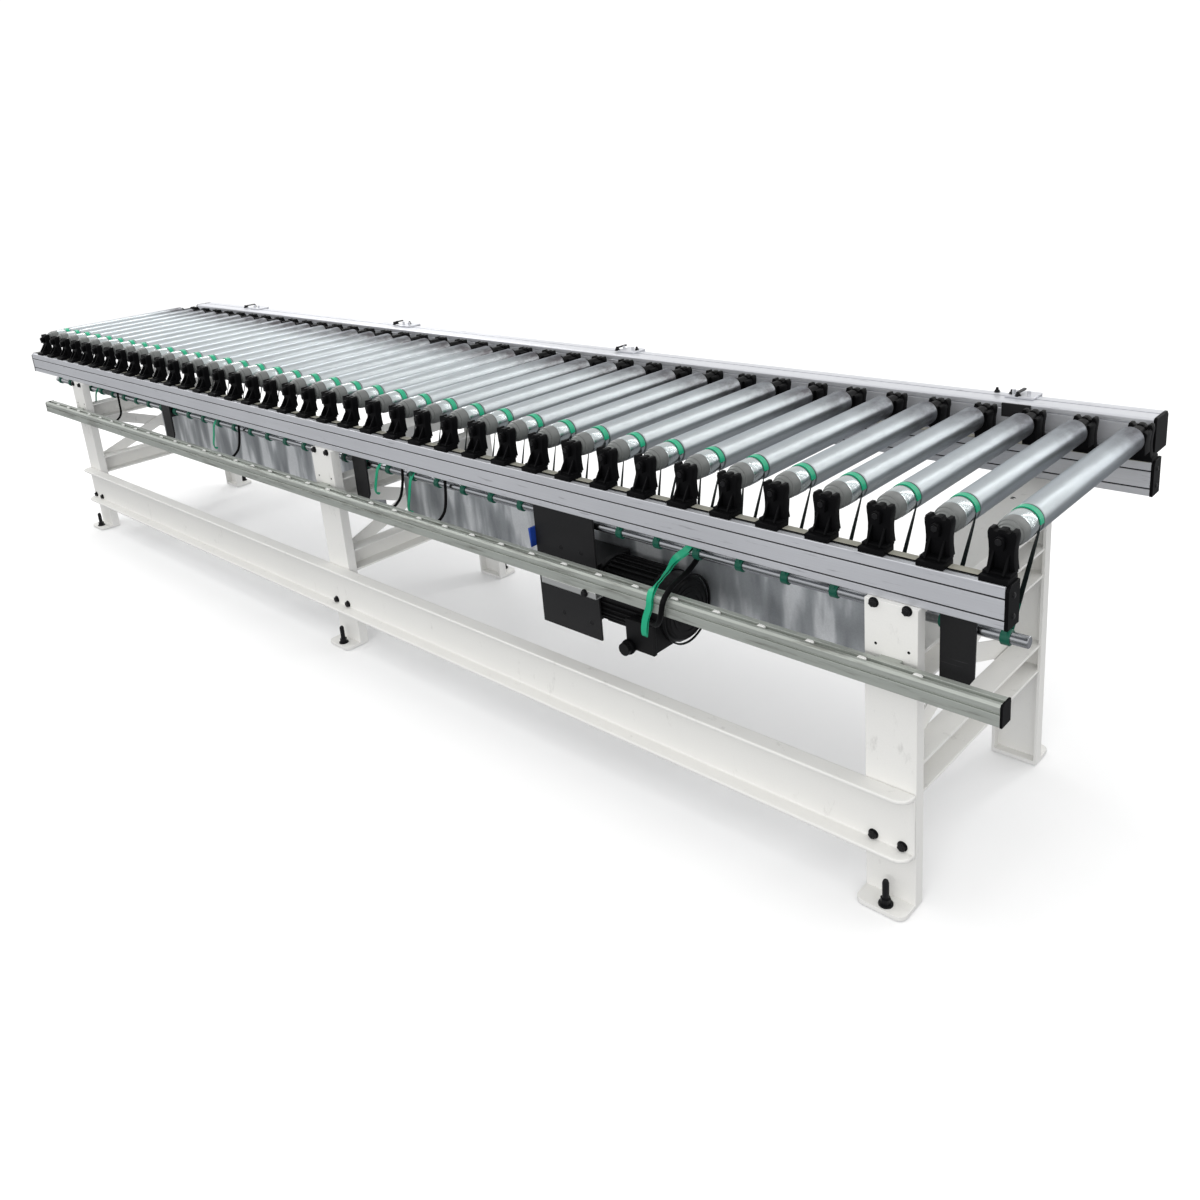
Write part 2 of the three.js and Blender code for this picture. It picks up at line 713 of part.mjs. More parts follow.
const footprint = new THREE.Box3().setFromObject(object).getCenter(new THREE.Vector3());
for (const mesh of object.children) {
  mesh.position.set(-footprint.x, -footprint.y, 0);
}

export default object;
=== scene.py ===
import math

import bmesh
import bpy
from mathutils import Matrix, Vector


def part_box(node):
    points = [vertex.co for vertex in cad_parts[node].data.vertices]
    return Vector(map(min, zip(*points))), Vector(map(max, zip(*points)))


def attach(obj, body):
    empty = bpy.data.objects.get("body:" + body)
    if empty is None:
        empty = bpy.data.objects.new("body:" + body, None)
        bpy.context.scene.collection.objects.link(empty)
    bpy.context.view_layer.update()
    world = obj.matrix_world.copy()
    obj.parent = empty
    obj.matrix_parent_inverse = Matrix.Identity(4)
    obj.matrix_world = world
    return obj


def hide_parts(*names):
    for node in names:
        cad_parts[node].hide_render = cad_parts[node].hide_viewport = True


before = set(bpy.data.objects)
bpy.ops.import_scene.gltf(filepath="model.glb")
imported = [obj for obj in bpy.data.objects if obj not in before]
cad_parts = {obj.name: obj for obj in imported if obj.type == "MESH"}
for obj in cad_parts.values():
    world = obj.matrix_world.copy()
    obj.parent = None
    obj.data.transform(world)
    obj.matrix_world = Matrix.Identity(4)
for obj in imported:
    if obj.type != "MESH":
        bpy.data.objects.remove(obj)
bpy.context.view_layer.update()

# Everything below is drawn in bed millimetres: x along the conveyor from the middle of the side rails,
# y across it from the middle of the bed, z above the floor.  at() and Piece turn them into metres.
MM = 0.001
near_rail_low, near_rail_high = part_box("near_side_rail")
far_rail_low, far_rail_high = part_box("far_side_rail")
ORIGIN = Vector(((near_rail_low.x + near_rail_high.x) / 2, (near_rail_low.y + far_rail_high.y) / 2, 0))


def at(x, y, z):
    """A point in bed millimetres, as metres in the frame."""
    return ORIGIN + Vector((x, y, z)) * MM


def span(node):
    """A CAD node's lowest and highest corner, in bed millimetres."""
    low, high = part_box(node)
    return (low - ORIGIN) / MM, (high - ORIGIN) / MM


# ---- camera ----
def make_camera():
    """The camera in front of the right-hand end, a little above the rollers."""
    data = bpy.data.cameras.new("photo_camera")
    data.lens = 31.415
    data.sensor_width = 36
    data.shift_x = -0.00167
    data.shift_y = -0.13471
    camera = bpy.data.objects.new("photo_camera", data)
    camera.location = at(2515.6, -1733.4, 1319.7)
    camera.rotation_euler = [math.radians(a) for a in (73.2836, 4.5267, 43.0968)]
    bpy.context.scene.collection.objects.link(camera)
    bpy.context.scene.camera = camera


make_camera()


# ---- materials ----
class Nodes:
    """Short names for the shader nodes that the materials are made of."""

    def __init__(self, name):
        self.material = bpy.data.materials.new(name)
        self.material.use_nodes = True
        self.tree = self.material.node_tree
        self.tree.nodes.clear()
        self.output = self.tree.nodes.new("ShaderNodeOutputMaterial")
        self.shader = self.tree.nodes.new("ShaderNodeBsdfPrincipled")
        self.link(self.shader.outputs[0], self.output.inputs["Surface"])
        self.place = self.tree.nodes.new("ShaderNodeTexCoord").outputs["Object"]

    def link(self, source, target):
        self.tree.links.new(source, target)

    def set(self, **values):
        for name, value in values.items():
            self.shader.inputs[name.replace("_", " ")].default_value = value

    def moved(self, scale, turn=(0, 0, 0)):
        """The object coordinates, stretched by scale and shifted by a different amount on each object."""
        mapping = self.tree.nodes.new("ShaderNodeMapping")
        mapping.inputs["Scale"].default_value = scale
        mapping.inputs["Rotation"].default_value = turn
        chance = self.tree.nodes.new("ShaderNodeObjectInfo").outputs["Random"]
        shift = self.tree.nodes.new("ShaderNodeVectorMath")
        shift.operation = "MULTIPLY_ADD"
        combine = self.tree.nodes.new("ShaderNodeCombineXYZ")
        for axis in range(3):
            self.link(chance, combine.inputs[axis])
        shift.inputs[1].default_value = (3.1, 5.7, 2.3)
        self.link(combine.outputs[0], shift.inputs[0])
        self.link(self.place, shift.inputs[2])
        self.link(shift.outputs[0], mapping.inputs["Vector"])
        return mapping.outputs[0]

    def noise(self, scale, detail=4, roughness=0.55, turn=(0, 0, 0)):
        node = self.tree.nodes.new("ShaderNodeTexNoise")
        node.inputs["Scale"].default_value = 1.0
        node.inputs["Detail"].default_value = detail
        node.inputs["Roughness"].default_value = roughness
        self.link(self.moved(scale, turn), node.inputs["Vector"])
        return node.outputs["Fac"]

    def cells(self, scale):
        """One random grey or colour for each cell, as the spangle of a zinc coat."""
        node = self.tree.nodes.new("ShaderNodeTexVoronoi")
        self.link(self.moved(scale), node.inputs["Vector"])
        return node.outputs["Color"]

    def ramp(self, source, stops):
        node = self.tree.nodes.new("ShaderNodeValToRGB")
        while len(node.color_ramp.elements) < len(stops):
            node.color_ramp.elements.new(0.5)
        for element, (position, value) in zip(node.color_ramp.elements, stops):
            element.position = position
            element.color = value if isinstance(value, tuple) else rgb(value, value, value)
        self.link(source, node.inputs["Fac"])
        return node.outputs["Color"]

    def mix(self, factor, a, b, blend="MIX"):
        node = self.tree.nodes.new("ShaderNodeMix")
        node.data_type = "RGBA"
        node.blend_type = blend
        for value, socket in ((factor, node.inputs[0]), (a, node.inputs[6]), (b, node.inputs[7])):
            if isinstance(value, bpy.types.NodeSocket):
                self.link(value, socket)
            else:
                socket.default_value = value
        return node.outputs[2]

    def range(self, source, low, high):
        """A value of 0 to 1 stretched to low to high."""
        node = self.tree.nodes.new("ShaderNodeMapRange")
        node.inputs["To Min"].default_value = low
        node.inputs["To Max"].default_value = high
        self.link(source, node.inputs["Value"])
        return node.outputs[0]

    def bump(self, source, strength):
        """Bumps up to 1 mm deep at strength 1, on top of the bumps laid before."""
        node = self.tree.nodes.new("ShaderNodeBump")
        node.inputs["Strength"].default_value = strength
        node.inputs["Distance"].default_value = MM
        self.link(source, node.inputs["Height"])
        previous = self.shader.inputs["Normal"]
        if previous.is_linked:
            self.link(previous.links[0].from_socket, node.inputs["Normal"])
        self.link(node.outputs[0], previous)

    def colour(self, socket):
        self.link(socket, self.shader.inputs["Base Color"])

    def rough(self, socket):
        self.link(socket, self.shader.inputs["Roughness"])


def rgb(red, green, blue):
    return (red, green, blue, 1)


def shade(colour, factor):
    return rgb(*(min(channel * factor, 1) for channel in colour[:3]))


def surface(name, colour, metallic, roughness, grain, depth, blotch, spread, bump=0.0, gloss=0.5):
    """A base colour with fine grain and slow blotches.  grain and blotch are how fine each is, depth how
    much they change the colour, spread how much they change the roughness, bump the grain's height."""
    n = Nodes(name)
    n.set(Metallic=metallic, Specular_IOR_Level=gloss)
    fine = n.noise(grain, detail=6)
    slow = n.noise((blotch, blotch, blotch), detail=3)
    toned = n.mix(fine, shade(colour, 1 - depth), shade(colour, 1 + depth))
    worn = n.mix(0.5, toned, n.ramp(slow, [(0.35, 1 - depth), (0.65, 1.0)]), "MULTIPLY")
    n.colour(worn)
    n.rough(n.range(n.mix(0.5, fine, slow), roughness - spread, roughness + spread))
    if bump:
        n.bump(fine, bump)
    return n


def marked(n, marks, colour):
    """Lays marks of another colour over a surface's own colour."""
    base = n.shader.inputs["Base Color"].links[0].from_socket
    n.colour(n.mix(marks, base, colour))
    return n.material


def zinc_tube():
    """Zinc-plated roller tube: draw lines along it, cloudy mottling, and dark patches that grow towards the
    far end.
    """
    n = surface("zinc_tube", rgb(0.43, 0.462, 0.474), 0.9, 0.33, (130, 3, 130), 0.06, 16, 0.04)
    n.set(Specular_Tint=rgb(0.62, 0.64, 0.68))
    clouds = n.ramp(n.noise((34, 14, 34), detail=6, roughness=0.6), [(0.50, 0.0), (0.75, 0.35)])
    marked(n, clouds, rgb(0.28, 0.29, 0.31))
    split = n.tree.nodes.new("ShaderNodeSeparateXYZ")
    n.link(n.place, split.inputs[0])
    # dark mottled patches, stronger towards the far end
    far = n.ramp(split.outputs["Y"], [(0.08, 0.0), (0.215, 1.0)])
    dark_patches = n.ramp(n.noise((45, 20, 45), detail=7, roughness=0.65), [(0.35, 0.45), (0.60, 1.0)])
    return marked(n, n.mix(1.0, far, dark_patches, "MULTIPLY"), rgb(0.10, 0.095, 0.10))


def anodised_rail():
    """Extruded, satin anodised aluminium: long draw lines and small scuffs."""
    n = surface("anodised_rail", rgb(0.60, 0.61, 0.64), 0.55, 0.4, (1.5, 500, 500), 0.08, 5, 0.07, 0.05)
    scuffs = n.ramp(n.noise((14, 60, 160), detail=8), [(0.62, 0.0), (0.72, 0.6)])
    return marked(n, scuffs, rgb(0.30, 0.30, 0.32))


def dull_rail():
    """The cable rail: older, duller aluminium with an olive cast and dark stains along it."""
    n = surface("dull_rail", rgb(0.415, 0.44, 0.405), 0.5, 0.40, (1.2, 400, 400), 0.14, 6, 0.08, 0.06)
    dark_patches = n.ramp(n.noise((7, 40, 90), detail=8, roughness=0.7), [(0.52, 0.0), (0.66, 0.7)])
    return marked(n, dark_patches, rgb(0.16, 0.16, 0.14))


def white_paint():
    """Off-white powder coat: orange peel, faint grime and grey rub marks."""
    n = surface("white_paint", rgb(0.77, 0.765, 0.74), 0.0, 0.5, (420, 420, 420), 0.03, 4, 0.08, 0.25, 0.3)
    marks = n.ramp(n.noise((30, 30, 12), detail=9, roughness=0.7), [(0.60, 0.0), (0.72, 0.45)])
    return marked(n, marks, rgb(0.42, 0.41, 0.39))


def dark_paint():
    """Nearly black paint with a few long scratches."""
    n = surface("dark_paint", rgb(0.015, 0.015, 0.016), 0.0, 0.45, (260, 260, 260), 0.2, 7, 0.08, 0.12, 0.22)
    scratch = n.ramp(n.noise((9, 9, 260), detail=6, turn=(0.4, 0.3, 0.9)), [(0.70, 0.0), (0.76, 0.5)])
    return marked(n, scratch, rgb(0.08, 0.08, 0.085))


def galvanised():
    """Zinc-coated sheet: spangle, and wide soft stripes up the sheet that are painted light and shadow from
    the rollers above.
    """
    n = Nodes("galvanised")
    n.set(Metallic=0.5)
    spangle = n.ramp(n.cells((70, 70, 70)), [(0.0, 0.88), (1.0, 1.0)])
    # soft stripes of painted light and shadow, dark to bright, as cast through the gaps between the rollers
    # above
    roller_shadow_stripes = n.noise((20, 20, 4.5), detail=3, roughness=0.4, turn=(0, 0.25, 0))
    base = n.ramp(roller_shadow_stripes, [(0.36, rgb(0.24, 0.255, 0.27)), (0.5, rgb(0.38, 0.40, 0.42)),
                            (0.60, rgb(0.72, 0.74, 0.76))])
    n.colour(n.mix(1.0, base, spangle, "MULTIPLY"))
    n.rough(n.range(n.noise((40, 40, 40)), 0.36, 0.52))
    n.bump(n.noise((500, 500, 500)), 0.05)
    return n.material


# name: colour, metallic, roughness, grain, depth, blotch, spread, bump, gloss, as surface() takes them
PLAIN = {
    "polished_ring": (rgb(0.44, 0.48, 0.485), 1.0, 0.26, (200, 8, 200), 0.06, 6, 0.01, 0.0, 0.5),
    "moulded_grey": (rgb(0.145, 0.152, 0.148), 0.0, 0.38, (500, 500, 500), 0.12, 40, 0.07, 0.15, 0.35),
    "moulded_black": (rgb(0.0035, 0.0035, 0.004), 0.0, 0.46, (700, 700, 700), 0.25, 12, 0.1, 0.12, 0.05),
    "olive_strip": (rgb(0.40, 0.39, 0.33), 0.1, 0.5, (6, 300, 300), 0.2, 9, 0.08, 0.06, 0.4),
    "motor_paint": (rgb(0.006, 0.006, 0.0065), 0.0, 0.40, (380, 380, 380), 0.25, 9, 0.1, 0.2, 0.16),
    "bright_steel": (rgb(0.60, 0.62, 0.64), 1.0, 0.24, (40, 300, 300), 0.08, 12, 0.06, 0.02, 0.5),
    "strip_steel": (rgb(0.50, 0.51, 0.50), 0.7, 0.35, (6, 300, 300), 0.08, 12, 0.06, 0.03, 0.5),
    "shaft_steel": (rgb(0.36, 0.37, 0.39), 1.0, 0.2, (3, 50, 50), 0.05, 9, 0.04, 0.0, 0.5),
    "green_belt": (rgb(0.010, 0.36, 0.19), 0.0, 0.36, (160, 160, 160), 0.10, 14, 0.08, 0.05, 0.35),
    # the belts' green painted darker as shade where they wrap the shaft and near it; the shaft sleeves are
    # drawn in it as well
    "dark_green": (rgb(0.004, 0.095, 0.060), 0.0, 0.4, (200, 200, 200), 0.15, 18, 0.08, 0.05, 0.3),
    # the belts' runs, painted near-black as shade
    "shaded_belt_run": (rgb(0.006, 0.012, 0.011), 0.0, 0.45, (200, 200, 200), 0.2, 18, 0.08, 0.08, 0.15),
    "cable_black": (rgb(0.003, 0.003, 0.0033), 0.0, 0.5, (300, 300, 300), 0.25, 20, 0.08, 0.1, 0.06),
    "clip_white": (rgb(0.75, 0.75, 0.73), 0.0, 0.45, (400, 400, 400), 0.05, 20, 0.06, 0.05, 0.4),
    "black_screw": (rgb(0.008, 0.008, 0.009), 0.1, 0.4, (500, 500, 500), 0.3, 25, 0.1, 0.1, 0.2),
    "blue_plastic": (rgb(0.015, 0.06, 0.36), 0.0, 0.4, (300, 300, 300), 0.12, 20, 0.06, 0.05, 0.4),
}

MAT = {make.__name__: make() for make in (
    zinc_tube, anodised_rail, dull_rail, white_paint, dark_paint, galvanised)}
for name, look in PLAIN.items():
    MAT[name] = surface(name, *look).material


# ---- mesh helpers ----
SHARP_ANGLE = 35
FLAT_ANGLE = 1
WELD_DISTANCE = 1e-5
EDGE_STEPS = 2


class Piece:
    """Solids in bed millimetres that end up as one Blender mesh."""

    def __init__(self, name):
        self.name = name
        self.mesh = bmesh.new()
        self.materials = []

    def index(self, material):
        if material not in self.materials:
            self.materials.append(material)
        return self.materials.index(material)

    def faces(self, points, faces, material):
        slot = self.index(material)
        corners = [self.mesh.verts.new(point) for point in points]
        for face in faces:
            made = self.mesh.faces.new([corners[i] for i in face])
            made.material_index = slot
            made.smooth = True
        return self

    def prism(self, outline, axis, ends, material):
        """An outline swept along axis; it holds the other two coordinates, in the order x, y, z."""
        points = []
        for end in ends:
            for u, v in outline:
                point = {"x": (end, u, v), "y": (u, end, v), "z": (u, v, end)}[axis]
                points.append(point)
        count = len(outline)
        faces = [tuple(range(count))[::-1], tuple(range(count, 2 * count))]
        for i in range(count):
            j = (i + 1) % count
            faces.append((i, j, count + j, count + i))
        return self.faces(points, faces, material)

    def box(self, x, y, z, material):
        outline = [(x[0], y[0]), (x[1], y[0]), (x[1], y[1]), (x[0], y[1])]
        return self.prism(outline, "z", z, material)

    def lathe(self, profile, axis, centre, material, segments=32):
        """A profile of (radius, place along the axis) turned about the axis through centre.
        centre holds the other two coordinates, in the order x, y, z."""
        points = []
        rings = []
        for radius, along in profile:
            ring = []
            for k in range(segments if radius > 0 else 1):
                angle = 2 * math.pi * k / segments
                u = centre[0] + radius * math.cos(angle)
                v = centre[1] + radius * math.sin(angle)
                ring.append(len(points))
                points.append({"x": (along, u, v), "y": (u, along, v), "z": (u, v, along)}[axis])
            rings.append(ring)
        faces = []
        for low, high in zip(rings, rings[1:]):
            for k in range(segments):
                m = (k + 1) % segments
                face = [low[k % len(low)], low[m % len(low)], high[m % len(high)], high[k % len(high)]]
                unique = list(dict.fromkeys(face))
                if len(unique) > 2:
                    faces.append(tuple(unique))
        return self.faces(points, faces, material)

    def ribbon(self, path, widths, width, thick, material):
        """A flat band along path; widths holds the direction of its width at each point."""
        last = len(path) - 1
        points = []
        for i, (centre, side) in enumerate(zip(path, widths)):
            before = path[max(i - 1, 0)]
            after = path[min(i + 1, last)]
            out = side.cross((after - before).normalized()).normalized()
            for a, b in ((-1, 0), (1, 0), (1, 1), (-1, 1)):
                points.append(centre + side * (a * width / 2) + out * (b * thick))
        faces = []
        for i in range(last):
            for k in range(4):
                m = (k + 1) % 4
                faces.append((4 * i + k, 4 * i + m, 4 * i + 4 + m, 4 * i + 4 + k))
        faces += [(3, 2, 1, 0), (4 * last, 4 * last + 1, 4 * last + 2, 4 * last + 3)]
        return self.faces([tuple(p) for p in points], faces, material)

    def copies(self, template, places):
        """Copies of another finished mesh, each moved by one of places."""
        slots = [self.index(material) for material in template.materials]
        for place in places:
            first_vert = len(self.mesh.verts)
            first_face = len(self.mesh.faces)
            self.mesh.from_mesh(template)
            self.mesh.verts.ensure_lookup_table()
            self.mesh.faces.ensure_lookup_table()
            for vert in self.mesh.verts[first_vert:]:
                vert.co += Vector(place)
            for face in self.mesh.faces[first_face:]:
                face.material_index = slots[face.material_index]
        return self

    def face_outwards(self):
        bmesh.ops.recalc_face_normals(self.mesh, faces=self.mesh.faces)

    def handed_over(self):
        """The finished mesh with its materials, still without an object."""
        mesh = bpy.data.meshes.new(self.name)
        self.mesh.to_mesh(mesh)
        self.mesh.free()
        for material in self.materials:
            mesh.materials.append(material)
        return mesh

    def baked(self, bevel=0.0):
        """The mesh in bed millimetres, with its edges rounded by bevel mm, as a template to repeat."""
        self.face_outwards()
        if bevel:
            sharp = []
            for edge in self.mesh.edges:
                if len(edge.link_faces) == 2 and edge.calc_face_angle(0) > math.radians(SHARP_ANGLE):
                    sharp.append(edge)
            bmesh.ops.bevel(self.mesh, geom=sharp, offset=bevel, segments=EDGE_STEPS, profile=0.6,
                            affect="EDGES", clamp_overlap=True)
        return self.handed_over()

    def done(self, body="frame", bevel=0.0, replaces=(), angle=SHARP_ANGLE):
        """Makes the object, with rounded edges where bevel (in mm) isn't 0, and lets it ride on body."""
        self.face_outwards()
        place = at(0, 0, 0)
        for vert in self.mesh.verts:
            vert.co = at(*vert.co) - place
        piece = bpy.data.objects.new(self.name, self.handed_over())
        piece.location = place
        bpy.context.scene.collection.objects.link(piece)
        return dress(piece, body, bevel, replaces, angle)


def dress(piece, body, bevel, replaces, angle=SHARP_ANGLE):
    """Edge rounding, even shading, the body it rides on, and what it stands for."""
    piece.data.shade_smooth()
    piece.data.set_sharp_from_angle(angle=math.radians(angle))
    if bevel:
        rounding = piece.modifiers.new("rounded_edges", "BEVEL")
        rounding.width = bevel * MM
        rounding.segments = EDGE_STEPS
        rounding.limit_method = "ANGLE"
        rounding.angle_limit = math.radians(angle)
        rounding.use_clamp_overlap = True
        even = piece.modifiers.new("even_shading", "WEIGHTED_NORMAL")
        even.keep_sharp = True
    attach(piece, body)
    if replaces:
        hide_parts(*replaces)
    return piece


def rounded_copy(node, name, material, bevel):
    """A CAD node's own shape with its flat faces made whole and its edges rounded."""
    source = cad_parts[node]
    mesh = bmesh.new()
    mesh.from_mesh(source.data)
    bmesh.ops.remove_doubles(mesh, verts=mesh.verts, dist=WELD_DISTANCE)
    bmesh.ops.dissolve_limit(mesh, angle_limit=math.radians(FLAT_ANGLE), verts=mesh.verts, edges=mesh.edges)
    data = bpy.data.meshes.new(name)
    mesh.to_mesh(data)
    mesh.free()
    data.materials.clear()
    data.materials.append(material)
    for face in data.polygons:
        face.material_index = 0
    piece = bpy.data.objects.new(name, data)
    bpy.context.scene.collection.objects.link(piece)
    return dress(piece, "frame", bevel, (node,))


def hexagon(radius, centre, turn):
    """The corners of a hexagon; radius is to a corner, turn in radians."""
    corners = []
    for k in range(6):
        angle = turn + math.pi / 3 * k
        corners.append((centre[0] + radius * math.cos(angle), centre[1] + radius * math.sin(angle)))
    return corners


def bolt(piece, axis, centre, base, outward, radius, material, long=0.0):
    """A washer and a hexagon head or nut on base, a place along axis; outward is -1 or 1.
    long is how far the bolt's own end stands out of its nut."""
    washer = (base - outward * 0.5, base + outward * radius * 0.22)
    piece.lathe([(0, washer[0]), (radius * 1.25, washer[0]), (radius * 1.25, washer[1]), (0, washer[1])],
                axis, centre, material, 20)
    top = base + outward * radius * 0.95
    piece.prism(hexagon(radius, centre, 0.3), axis, (washer[1] - outward * 0.2, top), material)
    tip = top + outward * (long + radius * 0.12)
    waist = radius * (0.55 if long else 0.72)
    end = [(0, top - outward), (waist, top - outward), (waist, tip - outward * 1.5), (waist - 1.2, tip),
           (0, tip)]
    piece.lathe(end, axis, centre, material, 18)


def arc(centre, radius, start, stop, steps):
    """Points on an arc, from start to stop degrees."""
    points = []
    for k in range(steps + 1):
        angle = math.radians(start + (stop - start) * k / steps)
        points.append((centre[0] + radius * math.cos(angle), centre[1] + radius * math.sin(angle)))
    return points


# ---- measures taken from the frame ----
ROLLERS = sorted(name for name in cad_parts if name.startswith("roller_"))
ROLLER_X = []
for name in ROLLERS:
    low, high = span(name)
    ROLLER_X.append((low.x + high.x) / 2)
ROLLER_LOW, ROLLER_HIGH = span(ROLLERS[0])
AXIS_Z = (ROLLER_LOW.z + ROLLER_HIGH.z) / 2
TUBE_R = (ROLLER_HIGH.z - ROLLER_LOW.z) / 2
NEAR_LOW, NEAR_HIGH = span("near_side_rail")
FAR_LOW, FAR_HIGH = span("far_side_rail")
RAIL_TOP = NEAR_HIGH.z
SHAFT_LOW, SHAFT_HIGH = span("line_shaft")
SHAFT_Y = (SHAFT_LOW.y + SHAFT_HIGH.y) / 2
SHAFT_Z = (SHAFT_LOW.z + SHAFT_HIGH.z) / 2
SHAFT_R = (SHAFT_HIGH.z - SHAFT_LOW.z) / 2
LEG_X = {side: span(f"leg_frame_{side}")[0].x for side in ("left", "middle", "right")}


# ---- motor cable ----
CABLE_R = 5.5
CABLE_STEPS = 4
CABLE_ROUTE = [
    (1336, -303, 578), (1332, -294, 556), (1324, -268, 532), (1318, -270, 504), (1320, -304, 486),
    (1330, -352, 484), (1342, -392, 484), (1344, -414, 470), (1336, -415, 438), (1318, -406, 412),
    (1272, -378, 394), (1226, -340, 384), (1204, -318, 376), (1198, -308, 364), (1198, -308, 346.3),
]


def smooth_route(points, steps):
    """Points along a centripetal Catmull-Rom curve through the given points."""
    guide = [Vector(p) for p in points]
    ends = [2 * guide[0] - guide[1]] + guide + [2 * guide[-1] - guide[-2]]
    result = []
    for p0, p1, p2, p3 in zip(ends, ends[1:], ends[2:], ends[3:]):
        t1 = math.sqrt((p1 - p0).length)
        t2 = t1 + math.sqrt((p2 - p1).length)
        t3 = t2 + math.sqrt((p3 - p2).length)
        for k in range(steps):
            t = t1 + (t2 - t1) * k / steps
            a1 = p0 * ((t1 - t) / t1) + p1 * (t / t1)
            a2 = p1 * ((t2 - t) / (t2 - t1)) + p2 * ((t - t1) / (t2 - t1))
            a3 = p2 * ((t3 - t) / (t3 - t2)) + p3 * ((t - t2) / (t3 - t2))
            b1 = a1 * ((t2 - t) / t2) + a2 * (t / t2)
            b2 = a2 * ((t3 - t) / (t3 - t1)) + a3 * ((t - t1) / (t3 - t1))
            result.append(b1 * ((t2 - t) / (t2 - t1)) + b2 * ((t - t1) / (t2 - t1)))
    result.append(guide[-1])
    return result


def cable_curve(name, route, radius, material):
    """A curve of one open spline through route, as a round cable, and its length in metres."""
    points = smooth_route(route, CABLE_STEPS)
    data = bpy.data.curves.new(name, "CURVE")
    data.dimensions = "3D"
    data.bevel_depth = radius * MM
    data.bevel_resolution = 4
    data.use_fill_caps = True
    spline = data.splines.new("POLY")
    spline.points.add(len(points) - 1)
    for target, point in zip(spline.points, points):
        target.co = (*at(*point), 1)
    data.materials.append(material)
    curve = bpy.data.objects.new(name, data)
    bpy.context.scene.collection.objects.link(curve)
    length = sum((b - a).length for a, b in zip(points, points[1:])) * MM
    return curve, length


def motor_cable():
    curve, length = cable_curve("motor_supply_cable", CABLE_ROUTE[::-1], CABLE_R, MAT["cable_black"])
    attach(curve, "frame")
    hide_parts("motor_cable")


motor_cable()


# ---- rollers ----
TUBE_FROM, TUBE_TO = -221.0, 242.0
BELT_Y = -231.5
RING_FROM, RING_TO = -270.0, -241.0
CAP_FROM, NECK_FROM = -306.0, -331.0
NECK_R = 5.5
ROLLER_SHARP_ANGLE = 38
AXLE_R = 5.6
AXLE_ENDS = ((-334, -322), (298, 324))
# the cap's steps, as (radius, y)
CAP_STEPS = [
    (12, CAP_FROM), (14.5, -305), (16.2, -302.5), (16.6, -300), (16.0, -299.4), (18.6, -298.6), (20.2, -296),
    (20.6, -292), (20.0, -291.4), (22.0, -290.6), (22.9, -288), (23.4, -284), (23.6, -278), (23.6, -272.5),
    (22.8, -271.5),
]


def roller_mesh():
    """One roller about its own axis: black neck, stepped grey cap, bright ring, tube and far end."""
    roller = Piece("roller_tube")
    r = TUBE_R
    roller.lathe([
        (0, NECK_FROM), (NECK_R, NECK_FROM), (NECK_R, CAP_FROM + 1), (0, CAP_FROM + 1),
    ], "y", (0, 0), MAT["moulded_black"], 24)
    cap = [(0, CAP_FROM)] + CAP_STEPS + [(22.8, RING_FROM + 1), (0, RING_FROM + 1)]
    roller.lathe(cap, "y", (0, 0), MAT["moulded_grey"], 44)
    roller.lathe([
        (0, RING_FROM), (22.6, RING_FROM), (23.9, RING_FROM + 0.8), (24.2, RING_FROM + 2),
        (24.2, RING_TO - 2), (23.8, RING_TO - 0.6), (22.6, RING_TO), (0, RING_TO),
    ], "y", (0, 0), MAT["polished_ring"], 48)
    roller.lathe([
        (0, RING_TO - 1), (22.8, RING_TO - 1), (22.8, TUBE_FROM - 3.5), (21.6, TUBE_FROM - 3),
        (21.6, TUBE_FROM), (r - 0.6, TUBE_FROM), (r, TUBE_FROM + 0.8), (r, TUBE_FROM + 3), (r, TUBE_TO - 3),
        (r - 0.6, TUBE_TO - 1), (r - 2, TUBE_TO), (0, TUBE_TO),
    ], "y", (0, 0), MAT["zinc_tube"], 48)
    roller.lathe([
        (0, TUBE_TO - 2), (21, TUBE_TO - 2), (21, TUBE_TO + 8), (18.5, TUBE_TO + 11), (15, TUBE_TO + 12),
        (14.5, TUBE_TO + 46), (11, TUBE_TO + 48), (11, TUBE_TO + 60), (0, TUBE_TO + 60),
    ], "y", (0, 0), MAT["moulded_black"], 32)
    return roller.baked()


def rollers():
    """The same mesh on every roller body, with its own random mottling."""
    template = roller_mesh()
    for vert in template.vertices:
        vert.co *= MM
    template.shade_smooth()
    template.set_sharp_from_angle(angle=math.radians(ROLLER_SHARP_ANGLE))
    for name, x in zip(ROLLERS, ROLLER_X):
        piece = bpy.data.objects.new(f"{name}_tube", template)
        piece.location = at(x, 0, AXIS_Z)
        bpy.context.scene.collection.objects.link(piece)
        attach(piece, name)
        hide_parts(name)


rollers()


def axle_ends():
    """The hexagonal axle ends that sit in the brackets and stay still."""
    axles = Piece("axle_ends")
    for x in ROLLER_X:
        for ends in AXLE_ENDS:
            axles.prism(hexagon(AXLE_R, (x, AXIS_Z), math.pi / 6), "y", ends, MAT["black_screw"])
    axles.done("frame", bevel=0.5)


axle_ends()


# ---- roller brackets ----
# depths are measured from the bracket's front towards the roller; outlines are (across, height on the rail)
FOOT_BACK = 36
WALL_FRONT, WALL_BACK = 27, 44
FAR_REACH = 74
BOSS_FRONT, BOSS_R = 16, 7.5
WALL_SIDE = [
    (21.8, 13), (20.6, 20), (19.4, 30), (19.2, 42), (20.2, 54), (21.4, 61), (21.8, 69), (20.0, 75.5),
    (14, 76), (12, 71.5), (7, 71), (5, 75), (0, 75.5),
]
CHEEK_SIDE = [(20, 24), (19, 42), (20.5, 56), (21.5, 63), (20, 68), (16, 69.5)]
CHEEK_BORE = 15.4
# the strip in the rail's slot and, beside it, a dark line of painted shade: depths, height, material
STRIPS = (((17, 34), 0.9, "olive_strip"), ((15.5, 17.2), 0.5, "moulded_black"))


